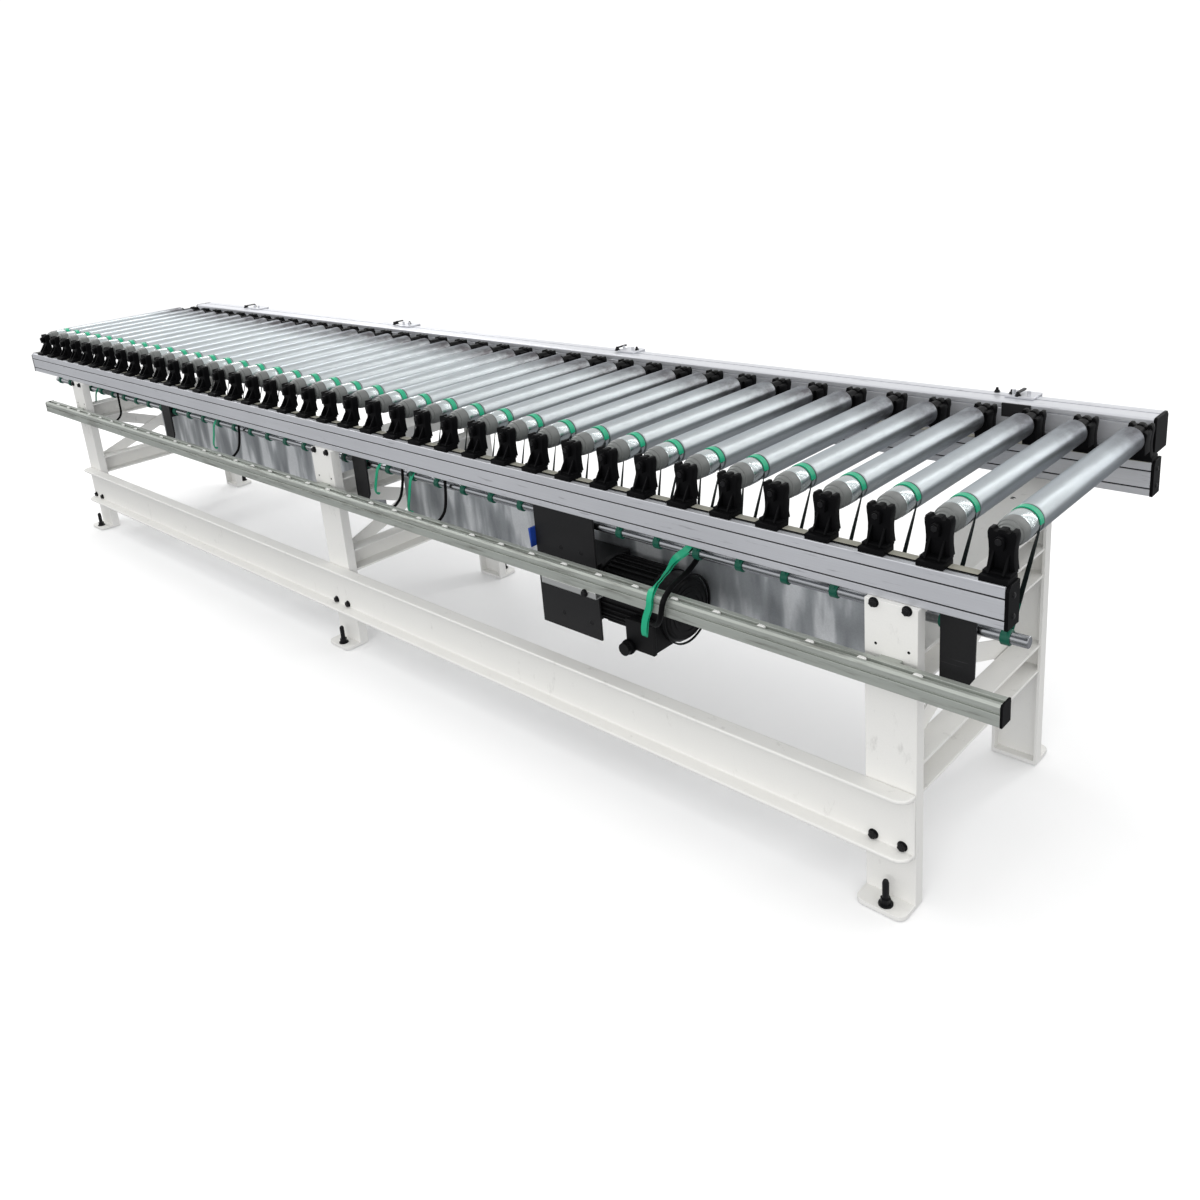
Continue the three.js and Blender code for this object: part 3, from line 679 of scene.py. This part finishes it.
def bracket_mesh(front, inward, reach):
    """One moulded bracket at x 0 and z 0 on the rail top; inward, 1 or -1, looks along y to the roller.
    It has a stepped foot, a waisted wall with a three-humped top, ribs and an axle boss in front.  Where
    reach is past the wall's back, cheeks go on to it round the roller's end."""
    def depth(low, high):
        return tuple(sorted((front + inward * low, front + inward * high)))

    piece = Piece("bracket")
    black = MAT["moulded_black"]
    axis = AXIS_Z - RAIL_TOP
    piece.box((-22.5, 22.5), depth(0, FOOT_BACK), (0.3, 9.5), black)
    piece.box((-21.5, 21.5), depth(11, 40), (9, 14), black)
    wall = WALL_SIDE + [(-u, v) for u, v in WALL_SIDE[-2::-1]]
    piece.prism(wall, "y", depth(WALL_FRONT, WALL_BACK), black)
    boss = arc((0, axis), BOSS_R, 0, 180, 10) + [(-6.5, axis - 14), (6.5, axis - 14)]
    piece.prism(boss, "y", depth(BOSS_FRONT, WALL_FRONT + 1), black)
    for side in (-1, 1):
        rib = [(front + inward * a, b) for a, b in ((7, 12), (28, 12), (28, 42))]
        piece.prism(rib, "x", sorted((side * 10, side * 13.5)), black)
    if reach > WALL_BACK:
        seat = arc((0, axis), CHEEK_BORE, 30, -210, 16)
        cheeks = CHEEK_SIDE + seat + [(-u, v) for u, v in reversed(CHEEK_SIDE)]
        piece.prism(cheeks, "y", depth(WALL_BACK - 1, reach), black)
    return piece.baked(0.9)


def brackets():
    """The two rows of brackets, each with the strip it stands on."""
    for side, low, high, front, inward, reach in (
        ("near", NEAR_LOW, NEAR_HIGH, NEAR_LOW.y + 2, 1, WALL_BACK),
        ("far", FAR_LOW, FAR_HIGH, FAR_HIGH.y - 12, -1, FAR_REACH),
    ):
        row = Piece(f"{side}_bracket_row")
        row.copies(bracket_mesh(front, inward, reach), [(x, 0, RAIL_TOP) for x in ROLLER_X])
        # each olive strip, and beside it a black line that is painted shade at the slot's edge
        for (outer, inner), top, look in STRIPS:
            strip = sorted((front + inward * outer, front + inward * inner))
            row.box((low.x + 8, high.x - 8), strip, (RAIL_TOP - 1, RAIL_TOP + top), MAT[look])
        row.done(replaces=(f"{side}_roller_brackets",))


brackets()


# ---- drive belts, shaft and sleeves ----
BELT_WIDTH = 12.5
BELT_THICK = 1.8
SLEEVE_R = 12.2
# how far a belt's inner face is below the roller's and the sleeve's surface
BELT_SINK, SLEEVE_SINK = 1.6, 0.4
RUN_STEPS = 14
RUN_WIDTH = 8.0
# the step at which a run's near-black painted shade gives way to dark green, also painted shade
DARK_GREEN_STEP = 10


def half_turn(centre, radius, first, second, steps=18):
    """Points round half a circle, from centre + first through centre + second."""
    points = []
    for k in range(steps + 1):
        angle = math.pi * k / steps
        points.append(centre + (first * math.cos(angle) + second * math.sin(angle)) * radius)
    return points


def twisted_run(start, end, side_from, side_to):
    """A straight run down from the roller that turns a quarter, most of it near the roller."""
    centres = []
    sides = []
    for k in range(RUN_STEPS + 1):
        share = k / RUN_STEPS
        turn = math.pi / 2 * share ** 0.45
        centres.append(start.lerp(end, share))
        sides.append(side_from * math.cos(turn) + side_to * math.sin(turn))
    return centres, sides


def drive_belts():
    """Quarter-twist belts: over the roller, down to the near side of the shaft, round it and back."""
    belts = Piece("drive_belts")
    across = Vector((0, 1, 0))
    along = Vector((-1, 0, 0))
    up = Vector((0, 0, 1))
    for x in ROLLER_X:
        over = half_turn(Vector((x, BELT_Y, AXIS_Z)), TUBE_R - BELT_SINK, -along, up)
        under = half_turn(Vector((x, SHAFT_Y, SHAFT_Z)), SLEEVE_R - SLEEVE_SINK, -across, -up)
        belts.ribbon(over, [across] * len(over), BELT_WIDTH, BELT_THICK, MAT["green_belt"])
        # the wrap round the shaft: the belt's own green painted darker as shade
        belts.ribbon(under, [along] * len(under), BELT_WIDTH, BELT_THICK, MAT["dark_green"])
        for start, end in ((over[-1], under[0]), (over[0], under[-1])):
            centres, sides = twisted_run(start, end, across, along)
            # each run is painted shade: near-black near the roller, dark green near the shaft
            back = slice(0, DARK_GREEN_STEP + 1)
            face = slice(DARK_GREEN_STEP, None)
            belts.ribbon(centres[back], sides[back], RUN_WIDTH, BELT_THICK, MAT["shaded_belt_run"])
            belts.ribbon(centres[face], sides[face], RUN_WIDTH, BELT_THICK, MAT["dark_green"])
    belts.done("frame", angle=50)


drive_belts()


def line_shaft():
    """The shaft bar and a green sleeve under every roller."""
    shaft = Piece("shaft_bar")
    low, high, r = SHAFT_LOW.x, SHAFT_HIGH.x, SHAFT_R
    shaft.lathe([(0, low), (r - 1, low), (r, low + 1), (r, high - 1), (r - 1, high), (0, high)],
                "x", (SHAFT_Y, SHAFT_Z), MAT["shaft_steel"], 32)
    shaft.done("shaft", replaces=("line_shaft",))
    sleeves = Piece("shaft_sleeves")
    for x in ROLLER_X:
        profile = [(0, x - 7.5), (SLEEVE_R, x - 7.5), (SLEEVE_R + 1, x - 6.5), (SLEEVE_R + 1, x + 6.5),
                   (SLEEVE_R, x + 7.5), (0, x + 7.5)]
        sleeves.lathe(profile, "x", (SHAFT_Y, SHAFT_Z), MAT["dark_green"], 28)
    sleeves.done("shaft")


line_shaft()


# ---- side rails, guide rail, cable rail ----
CAP = 6.0
CABLE_RAIL_CAP = 4.0
# places of the side rails' two grooves, down from the rail's top
GROOVES = (55, 20)
CLIP_PITCH = 97.0


def groove(face, inward, z, mouth=3.0, depth=4.0):
    """Outline points of a side groove, going up; face is the y of the side face."""
    low, high = z - mouth / 2, z + mouth / 2
    back = face + inward * depth
    return [(face, low), (back, low), (back, high), (face, high)]


def side_rail(name, node, piece_name):
    """An extrusion with two grooves a side and a slot on top, and its black end caps with two screws."""
    low, high = span(node)
    y0, y1, z0, z1 = low.y, high.y, low.z, high.z
    middle = (y0 + y1) / 2
    lower, upper = (z1 - drop for drop in GROOVES)
    near_side = groove(y0, 1, lower) + groove(y0, 1, upper)
    far_side = groove(y1, -1, lower) + groove(y1, -1, upper)
    outline = [(y0 + 1.5, z0), (y0, z0 + 1.5)] + near_side + [(y0, z1 - 0.8), (y0 + 0.8, z1)]
    outline += [(middle - 8, z1), (middle - 8, z1 - 5), (middle + 8, z1 - 5), (middle + 8, z1)]
    outline += [(y1 - 2, z1), (y1, z1 - 2)] + far_side[::-1] + [(y1, z0 + 1.5), (y1 - 1.5, z0)]
    rail = Piece(piece_name)
    rail.prism(outline, "x", (low.x + CAP, high.x - CAP), MAT["anodised_rail"])
    # a dark strip in each groove: painted shade inside the groove
    for z in (lower, upper):
        for face, inward in ((y0, 1), (y1, -1)):
            groove_shade = sorted((face + inward * 2.0, face + inward * 4.5))
            rail.box((low.x + CAP, high.x - CAP), groove_shade, (z - 1.6, z + 1.6), MAT["dark_paint"])
    rail.done(bevel=0.4, replaces=(node,))
    caps = Piece(f"{name}_rail_end_caps")
    chamfered = [(y0 - 0.6, z0 - 0.6), (y1 + 0.6, z0 - 0.6), (y1 + 0.6, z1 + 1), (y0 + 7, z1 + 1),
                 (y0 - 0.6, z1 - 7)]
    for ends, outward in (((low.x, low.x + CAP - 0.2), -1), ((high.x - CAP + 0.2, high.x), 1)):
        caps.prism(chamfered, "x", ends, MAT["moulded_black"])
        face = ends[0] if outward < 0 else ends[1]
        for z in (z0 + 17, z1 - 19):
            caps.lathe([(0, face - outward), (4.6, face - outward), (4.6, face + outward * 0.8),
                        (3.2, face + outward * 1.6), (0, face + outward * 1.6)],
                       "x", (middle, z), MAT["black_screw"], 16)
    caps.done(bevel=1.0)


side_rail("near", "near_side_rail", "near_rail_extrusion")
side_rail("far", "far_side_rail", "far_rail_extrusion")


def guide_rail():
    """The raised rail behind the rollers: rounded top edges, grooves, a slot on top and end caps."""
    low, high = span("guide_rail")
    y0, y1, z0, z1 = low.y, high.y, low.z, high.z
    round_edge = arc((y1 - 9, z1 - 9), 9, 0, 90, 5)
    front_edge = arc((y0 + 5, z1 - 5), 5, 90, 180, 4)
    front = groove(y0, 1, z1 - 14, 2.6, 4)[::-1] + groove(y0, 1, z0 + 18, 2.0, 2)[::-1]
    outline = [(y0 + 1.5, z0), (y1 - 1.5, z0), (y1, z0 + 1.5)] + groove(y1, -1, z0 + 34)
    outline += round_edge + [(y1 - 30, z1), (y1 - 30, z1 - 3), (y1 - 36, z1 - 3), (y1 - 36, z1)]
    outline += front_edge + front + [(y0, z0 + 1.5)]
    rail = Piece("guide_rail_extrusion")
    rail.prism(outline, "x", (low.x + CAP, high.x - CAP), MAT["anodised_rail"])
    rail.done(bevel=0.4, replaces=("guide_rail",))
    caps = Piece("guide_rail_end_caps")
    plate = [(y0 - 0.6, z0 - 0.6), (y1 + 0.6, z0 - 0.6), (y1 + 0.6, z1 - 7), (y1 - 7, z1 + 0.6),
             (y0 + 4, z1 + 0.6), (y0 - 0.6, z1 - 4)]
    for ends in ((low.x, low.x + CAP - 0.2), (high.x - CAP + 0.2, high.x)):
        caps.prism(plate, "x", ends, MAT["moulded_black"])
    caps.done(bevel=1.2)


guide_rail()


def cable_rail():
    """The small slotted rail with its spacers to the posts, end caps and white clips."""
    low, high = span("cable_rail")
    y0, z0, z1 = low.y, low.z, high.z
    y1 = y0 + 30
    outline = [(y0 + 1, z0), (y0, z0 + 1)] + groove(y0, 1, z0 + 22, 4, 4)
    outline += [(y0, z1 - 4), (y0 + 3, z1), (y0 + 9, z1), (y0 + 9, z1 - 6), (y0 + 18, z1 - 6), (y0 + 18, z1)]
    outline += [(y1 - 1, z1), (y1, z1 - 1), (y1, z0 + 1), (y1 - 1, z0)]
    rail = Piece("cable_rail_extrusion")
    ends = (low.x + CABLE_RAIL_CAP, high.x - CABLE_RAIL_CAP)
    rail.prism(outline, "x", ends, MAT["dull_rail"])
    for x in LEG_X.values():
        rail.box((x + 30, x + 68), (y1 - 0.5, high.y), (z0 + 4, z1 - 4), MAT["dull_rail"])
    rail.done(bevel=0.5, replaces=("cable_rail",))
    caps = Piece("cable_rail_end_caps")
    plate = [(y0 - 0.4, z0 - 0.4), (y1 + 0.4, z0 - 0.4), (y1 + 0.4, z1 + 0.4), (y0 + 3, z1 + 0.4),
             (y0 - 0.4, z1 - 4)]
    for cap in ((low.x, ends[0]), (ends[1], high.x)):
        caps.prism(plate, "x", cap, MAT["moulded_black"])
    caps.done(bevel=0.8)
    clips = Piece("cable_rail_clips")
    first = low.x + 96
    for k in range(int((high.x - first) / CLIP_PITCH)):
        x = first + k * CLIP_PITCH
        block = [(x - 8, z1 - 4), (x + 8, z1 - 4), (x + 8, z1 - 1), (x + 5, z1 + 1), (x - 5, z1 + 1),
                 (x - 8, z1 - 1)]
        clips.prism(block, "y", (y0 + 9.6, y0 + 16), MAT["clip_white"])
    clips.done(bevel=0.6)


cable_rail()


# ---- legs, base beam and plates ----
for side in LEG_X:
    rounded_copy(f"leg_frame_{side}", f"leg_weldment_{side}", MAT["white_paint"], 2.0)
rounded_copy("base_beam", "base_beam_channel", MAT["white_paint"], 2.2)
for side in ("left", "middle", "right"):
    rounded_copy(f"shaft_bearing_{side}", f"bearing_plate_{side}", MAT["dark_paint"], 0.8)
rounded_copy("motor_plate", "motor_mounting_plate", MAT["dark_paint"], 1.0)
rounded_copy("guide_support", "guide_support_bar", MAT["anodised_rail"], 0.8)
for side in ("left", "right"):
    rounded_copy(f"rear_panel_{side}", f"rear_sheet_{side}", MAT["galvanised"], 0.5)
rounded_copy("gearmotor", "gearmotor_body", MAT["motor_paint"], 2.0)
rounded_copy("terminal_box", "terminal_housing", MAT["motor_paint"], 1.5)


# ---- bolts, studs and small holes ----
BLACK = MAT["black_screw"]
FOOT_TOE = 44
FRAME_DEPTH = 540
WEB_THICK = 5
WEB_Y = span("leg_frame_left")[0].y + FOOT_TOE
FAR_WEB_Y = WEB_Y + FRAME_DEPTH
BEAM_LOW, BEAM_HIGH = span("base_beam")
TOE_TOP = 8.0
ANCHOR_ALONG, ANCHOR_OUT = 52, 27
ANCHOR_STUD = [
    (0, TOE_TOP), (13, TOE_TOP), (13, TOE_TOP + 2.4), (6, TOE_TOP + 2.4), (6, 52), (4, 57), (0, 57),
]
# (x, y) of the studs and x of the small levers on top of the guide rail
GUIDE_STUDS = (
    (-1551, 415), (-1569, 380), (-534, 398), (-479, 412), (526, 384), (581, 407), (1614, 400), (1647, 397),
)
LEVERS = (-1569, -534, 526, 1664)
PLATE_THICK = 5
PLATE_SCREWS = ((965, 453), (1025, 453), (956, 295), (1040, 294))
STRIP_X = (1006, 1160)
STRIP_FRONT = -407.5
MOTOR_AXIS = (-228, 350)
BARREL_R = 72
RIB_COUNT, RIB_HEIGHT = 34, 3.2
LID_FACE = -321.5
GLAND = (1168, 286)
CABLE_GLAND = [
    (0, 343.5), (10.5, 343.5), (10.5, 350), (8.6, 351.5), (8.2, 356), (6.6, 370), (0, 370),
]


def leg_hardware():
    """Bolts under the rails and through the beam, anchor bolts on the feet, and black discs painted as the
    shade in small tapped holes.
    """
    near = Piece("leg_bolts_near")
    far = Piece("leg_bolts_far")
    hole = [(0, WEB_Y - 0.3), (2.6, WEB_Y - 0.3), (2.6, WEB_Y + 1), (0, WEB_Y + 1)]
    nut = (TOE_TOP + 2.2, TOE_TOP + 13)
    for x0 in LEG_X.values():
        for x in (x0 + 17, x0 + 75):
            bolt(near, "y", (x, 555), WEB_Y, -1, 7, BLACK)
            bolt(far, "y", (x, 552), FAR_WEB_Y, 1, 7.5, BLACK)
            bolt(far, "y", (x, 552), FAR_WEB_Y - WEB_THICK, -1, 7, BLACK)
            # black disc on the post: painted shade of a small tapped hole
            near.lathe(hole, "y", (x + 3, 483), BLACK, 14)
        for x in (x0 + 18, x0 + 72):
            bolt(near, "y", (x, BEAM_LOW.z + 17), BEAM_HIGH.y - 6, -1, 7.5, BLACK)
        for feet, y, turn in ((near, WEB_Y - ANCHOR_OUT, 0.2), (far, FAR_WEB_Y + ANCHOR_OUT, 0.5)):
            feet.prism(hexagon(9.5, (x0 + ANCHOR_ALONG, y), turn), "z", nut, BLACK)
            feet.lathe(ANCHOR_STUD, "z", (x0 + ANCHOR_ALONG, y), BLACK, 20)
    near.done(bevel=0.5)
    far.done(bevel=0.5)


def guide_hardware():
    """Studs and small levers on top of the guide rail, and two dark plates on its front."""
    low, high = span("guide_rail")
    studs = Piece("guide_studs")
    bar_top = high.z + 4.5
    for x, y in GUIDE_STUDS:
        bolt(studs, "z", (x, y), bar_top, 1, 5.5, BLACK, 5)
    for x in LEVERS:
        bolt(studs, "z", (x, 387), bar_top, 1, 5.5, BLACK, 2)
        studs.box((x - 3.5, x + 3.5), (384, 424), (high.z + 10, high.z + 14), BLACK)
    # two dark plates on the rail's front
    dark_plate_y = (low.y - 5.5, low.y - 0.5)
    studs.box((1645, 1705), dark_plate_y, (low.z + 40, high.z - 3), MAT["dark_paint"])
    studs.box((1645, 1784), dark_plate_y, (584, 643), MAT["dark_paint"])
    studs.done(bevel=0.8)


def drive_hardware():
    """Screws in the motor plate, the bright bracket below the cable rail, and the blue guard."""
    low, high = span("motor_plate")
    screws = Piece("motor_plate_screws")
    face = high.y - PLATE_THICK
    head = [(0, face - 1.2), (4.6, face - 1.2), (5.8, face - 0.3), (5.8, face + 4), (0, face + 4)]
    for place in PLATE_SCREWS:
        screws.lathe(head, "y", place, BLACK, 16)
    bolt(screws, "y", (1131, 428), STRIP_FRONT, -1, 6.5, BLACK)
    screws.done(bevel=0.4)
    strip = Piece("motor_bracket_strip")
    rail_z = span("cable_rail")[0].z
    strip.box(STRIP_X, (STRIP_FRONT, STRIP_FRONT + 3), (rail_z - 14, rail_z + 1), MAT["strip_steel"])
    strip.box(STRIP_X, (STRIP_FRONT, low.y + 2), (rail_z - 14, rail_z - 11.5), MAT["strip_steel"])
    strip.done(bevel=0.6)
    guard = Piece("blue_guard")
    wedge = [(low.x - 8, 484), (low.x - 1, 484), (low.x - 1, 440), (low.x - 4, 440)]
    guard.prism(wedge, "y", (-322, -300), MAT["blue_plastic"])
    guard.done(bevel=0.8)


def motor_details():
    """Cooling ribs along the barrel, the cowl's grille, the terminal box's lid with its screws, and the
    two glands: one with a nut on the front and a tapered one where the motor cable goes in."""
    paint = MAT["motor_paint"]
    ribs = Piece("motor_ribs")
    y, z = MOTOR_AXIS
    foot, crest = BARREL_R - 2, BARREL_R + RIB_HEIGHT
    for k in range(RIB_COUNT):
        angle = 2 * math.pi * k / RIB_COUNT
        out = Vector((0, math.cos(angle), math.sin(angle)))
        side = Vector((0, -math.sin(angle), math.cos(angle))) * 1.4
        centre = Vector((0, y, z))
        corners = [centre + out * foot - side, centre + out * crest - side * 0.6,
                   centre + out * crest + side * 0.6, centre + out * foot + side]
        ribs.prism([(c.y, c.z) for c in corners], "x", (1056, 1186), paint)
    back = span("gearmotor")[1].x
    for r in (22, 34, 46, 58):
        ring = [(r, back - 1), (r + 3, back - 1), (r + 3, back + 1.2), (r, back + 1.2), (r, back - 1)]
        ribs.lathe(ring, "x", MOTOR_AXIS, paint, 40)
    for x in (1194, 1242):
        rim = BARREL_R + 3.6
        ring = [(BARREL_R, x), (rim, x + 0.6), (rim, x + 3.4), (BARREL_R, x + 4), (BARREL_R, x)]
        ribs.lathe(ring, "x", MOTOR_AXIS, paint, 48)
    for place in arc(MOTOR_AXIS, 64, 30, 330, 5):
        bolt(ribs, "x", place, 1050, 1, 5, BLACK)
    ribs.done(bevel=0.3, angle=30)
    lid = Piece("terminal_lid")
    lid.box((1158.5, 1231.5), (LID_FACE, LID_FACE + 6), (280.5, 345.5), paint)
    screw = [(0, LID_FACE - 1.1), (2.6, LID_FACE - 1.1), (3.2, LID_FACE + 0.5), (0, LID_FACE + 0.5)]
    for x in (1165, 1225):
        for z in (287, 339):
            lid.lathe(screw, "y", (x, z), MAT["bright_steel"], 14)
    for (front, back), r in (((-347, -337), 13), ((-338, -328), 16.5), ((-329, -316), 14.5)):
        step = [(0, front), (r - 2, front), (r, front + 2), (r, back), (0, back)]
        lid.lathe(step, "y", GLAND, MAT["moulded_black"], 14)
    lid.lathe(CABLE_GLAND, "z", CABLE_ROUTE[-1][:2], MAT["moulded_black"], 20)
    lid.done(bevel=0.9)


leg_hardware()
guide_hardware()
drive_hardware()
motor_details()


# ---- spare belts and short black leads ----
def band(piece, points, width, material):
    """A flat belt hanging face-on to -Y through points."""
    path = smooth_route(points, 5)
    sides = []
    for i, point in enumerate(path):
        tangent = path[min(i + 1, len(path) - 1)] - path[max(i - 1, 0)]
        sides.append(tangent.cross(Vector((0, 1, 0))).normalized())
    piece.ribbon(path, sides, width, 1.6, material)


# the belt laid over the cable rail in front of the motor: its outer layer and its lower end
OVER_RAIL = [
    (1318, -290, 540), (1314, -301, 527), (1293, -314, 507), (1297, -348, 493), (1303, -380, 486),
    (1307, -404, 480), (1308, -413, 466), (1307, -415, 449), (1296, -416, 419), (1291, -416, 392),
]
FOLD = (1291, -413.5, 383)
# x, drop and lean of the belts hanging from the shaft; x and lean of the leads
HANGING = ((-1505, 92, -52), (-590, 84, -28), (288, 72, -20), (430, 96, -24))
LEADS = ((-1296, 30), (-418, -4), (408, -8), (578, 2))
LEAD_R = 3.6


def spare_belts():
    """Belts kept in reserve: a doubled one over the cable rail and four hanging from the shaft."""
    belts = Piece("spare_belts")
    green = MAT["green_belt"]
    inner = [(x + 1, y + 5, z - 3) for x, y, z in OVER_RAIL[:6]]
    inner += [(x, y + 4.5, z) for x, y, z in OVER_RAIL[6:]]
    band(belts, OVER_RAIL + [FOLD] + inner[::-1], 13, green)
    for x, drop, lean in HANGING:
        points = [(x + 12, -284, 532), (x + 8, -301, 520), (x + lean * 0.4, -303, 518 - drop * 0.5),
                  (x + lean, -300, 518 - drop), (x + lean + 4, -292, 512 - drop)]
        band(belts, points, 9, green)
    belts.done(angle=50)


def sensor_leads():
    """Short black leads from under the near side rail down behind the cable rail, clipped at both ends."""
    leads = Piece("lead_clips")
    for k, (x, lean) in enumerate(LEADS):
        route = [(x, -302, 552), (x, -305, 530), (x + lean * 0.2, -308, 500), (x + lean * 0.8, -318, 462),
                 (x + lean, -336, 446), (x + lean, -352, 442), (x + lean, -366, 441), (x + lean, -374, 441)]
        curve, length = cable_curve(f"sensor_lead_{k + 1}", route, LEAD_R, MAT["cable_black"])
        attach(curve, "frame")
        at(*route[0])
        leads.box((x - 7, x + 7), (-309, -296), (548, 561), BLACK)
        leads.box((x + lean - 7, x + lean + 7), (-377, -369), (435, 447), BLACK)
    leads.done(bevel=0.8)


spare_belts()
sensor_leads()


# ---- floor and light ----
FLOOR_HALF = 60
FLOOR_Z = -0.002
# name, place, aim, size and power of the area lights, in metres and watts
LIGHTS = (
    ("key_light", (-3.2, 0.3, 2.9), (0.4, 0, 0.7), (5.0, 0.45), 60),
    ("streak_light", (3.1, 5.4, 3.4), (0.3, 1.2, 0.7), (0.30, 7.5), 62),
    ("thin_streak_light", (5.2, 5.0, 2.9), (0.3, 1.2, 0.7), (0.16, 7.0), 30),
    ("front_light", (2.6, -4.0, 1.7), (0.4, -0.3, 0.4), (2.2, 0.7), 45),
)


def studio():
    """A white floor out of the reflections, a white sky that is grey below, and the lights."""
    n = surface("studio_floor", rgb(0.955, 0.955, 0.955), 0.0, 0.8, (3, 3, 3), 0.004, 0.4, 0.04, 0.0, 0.1)
    corners = [(x * FLOOR_HALF, y * FLOOR_HALF, FLOOR_Z) for x, y in ((-1, -1), (1, -1), (1, 1), (-1, 1))]
    mesh = bpy.data.meshes.new("studio_floor")
    mesh.from_pydata(corners, [], [(0, 1, 2, 3)])
    mesh.materials.append(n.material)
    floor = bpy.data.objects.new("studio_floor", mesh)
    bpy.context.scene.collection.objects.link(floor)
    floor.visible_glossy = False
    floor.visible_diffuse = False
    world = bpy.data.worlds.new("studio_world")
    world.use_nodes = True
    tree = world.node_tree
    place = tree.nodes.new("ShaderNodeTexCoord")
    split = tree.nodes.new("ShaderNodeSeparateXYZ")
    ramp = tree.nodes.new("ShaderNodeValToRGB")
    ramp.color_ramp.elements[0].position = 0.0
    ramp.color_ramp.elements[0].color = (0.36, 0.365, 0.38, 1)
    ramp.color_ramp.elements[1].position = 0.05
    ramp.color_ramp.elements[1].color = (1, 1, 1, 1)
    shift = tree.nodes.new("ShaderNodeMath")
    shift.inputs[1].default_value = 0.10
    tree.links.new(place.outputs["Generated"], split.inputs[0])
    tree.links.new(split.outputs["Z"], shift.inputs[0])
    tree.links.new(shift.outputs[0], ramp.inputs["Fac"])
    tree.links.new(ramp.outputs["Color"], tree.nodes["Background"].inputs["Color"])
    tree.nodes["Background"].inputs["Strength"].default_value = 1.08
    bpy.context.scene.world = world
    bpy.context.scene.view_settings.view_transform = "Standard"
    for name, place, aim, size, power in LIGHTS:
        data = bpy.data.lights.new(name, "AREA")
        data.shape = "RECTANGLE"
        data.size, data.size_y = size
        data.energy = power
        light = bpy.data.objects.new(name, data)
        light.location = place
        light.rotation_euler = (Vector(aim) - Vector(place)).to_track_quat("-Z", "Y").to_euler()
        bpy.context.scene.collection.objects.link(light)


studio()
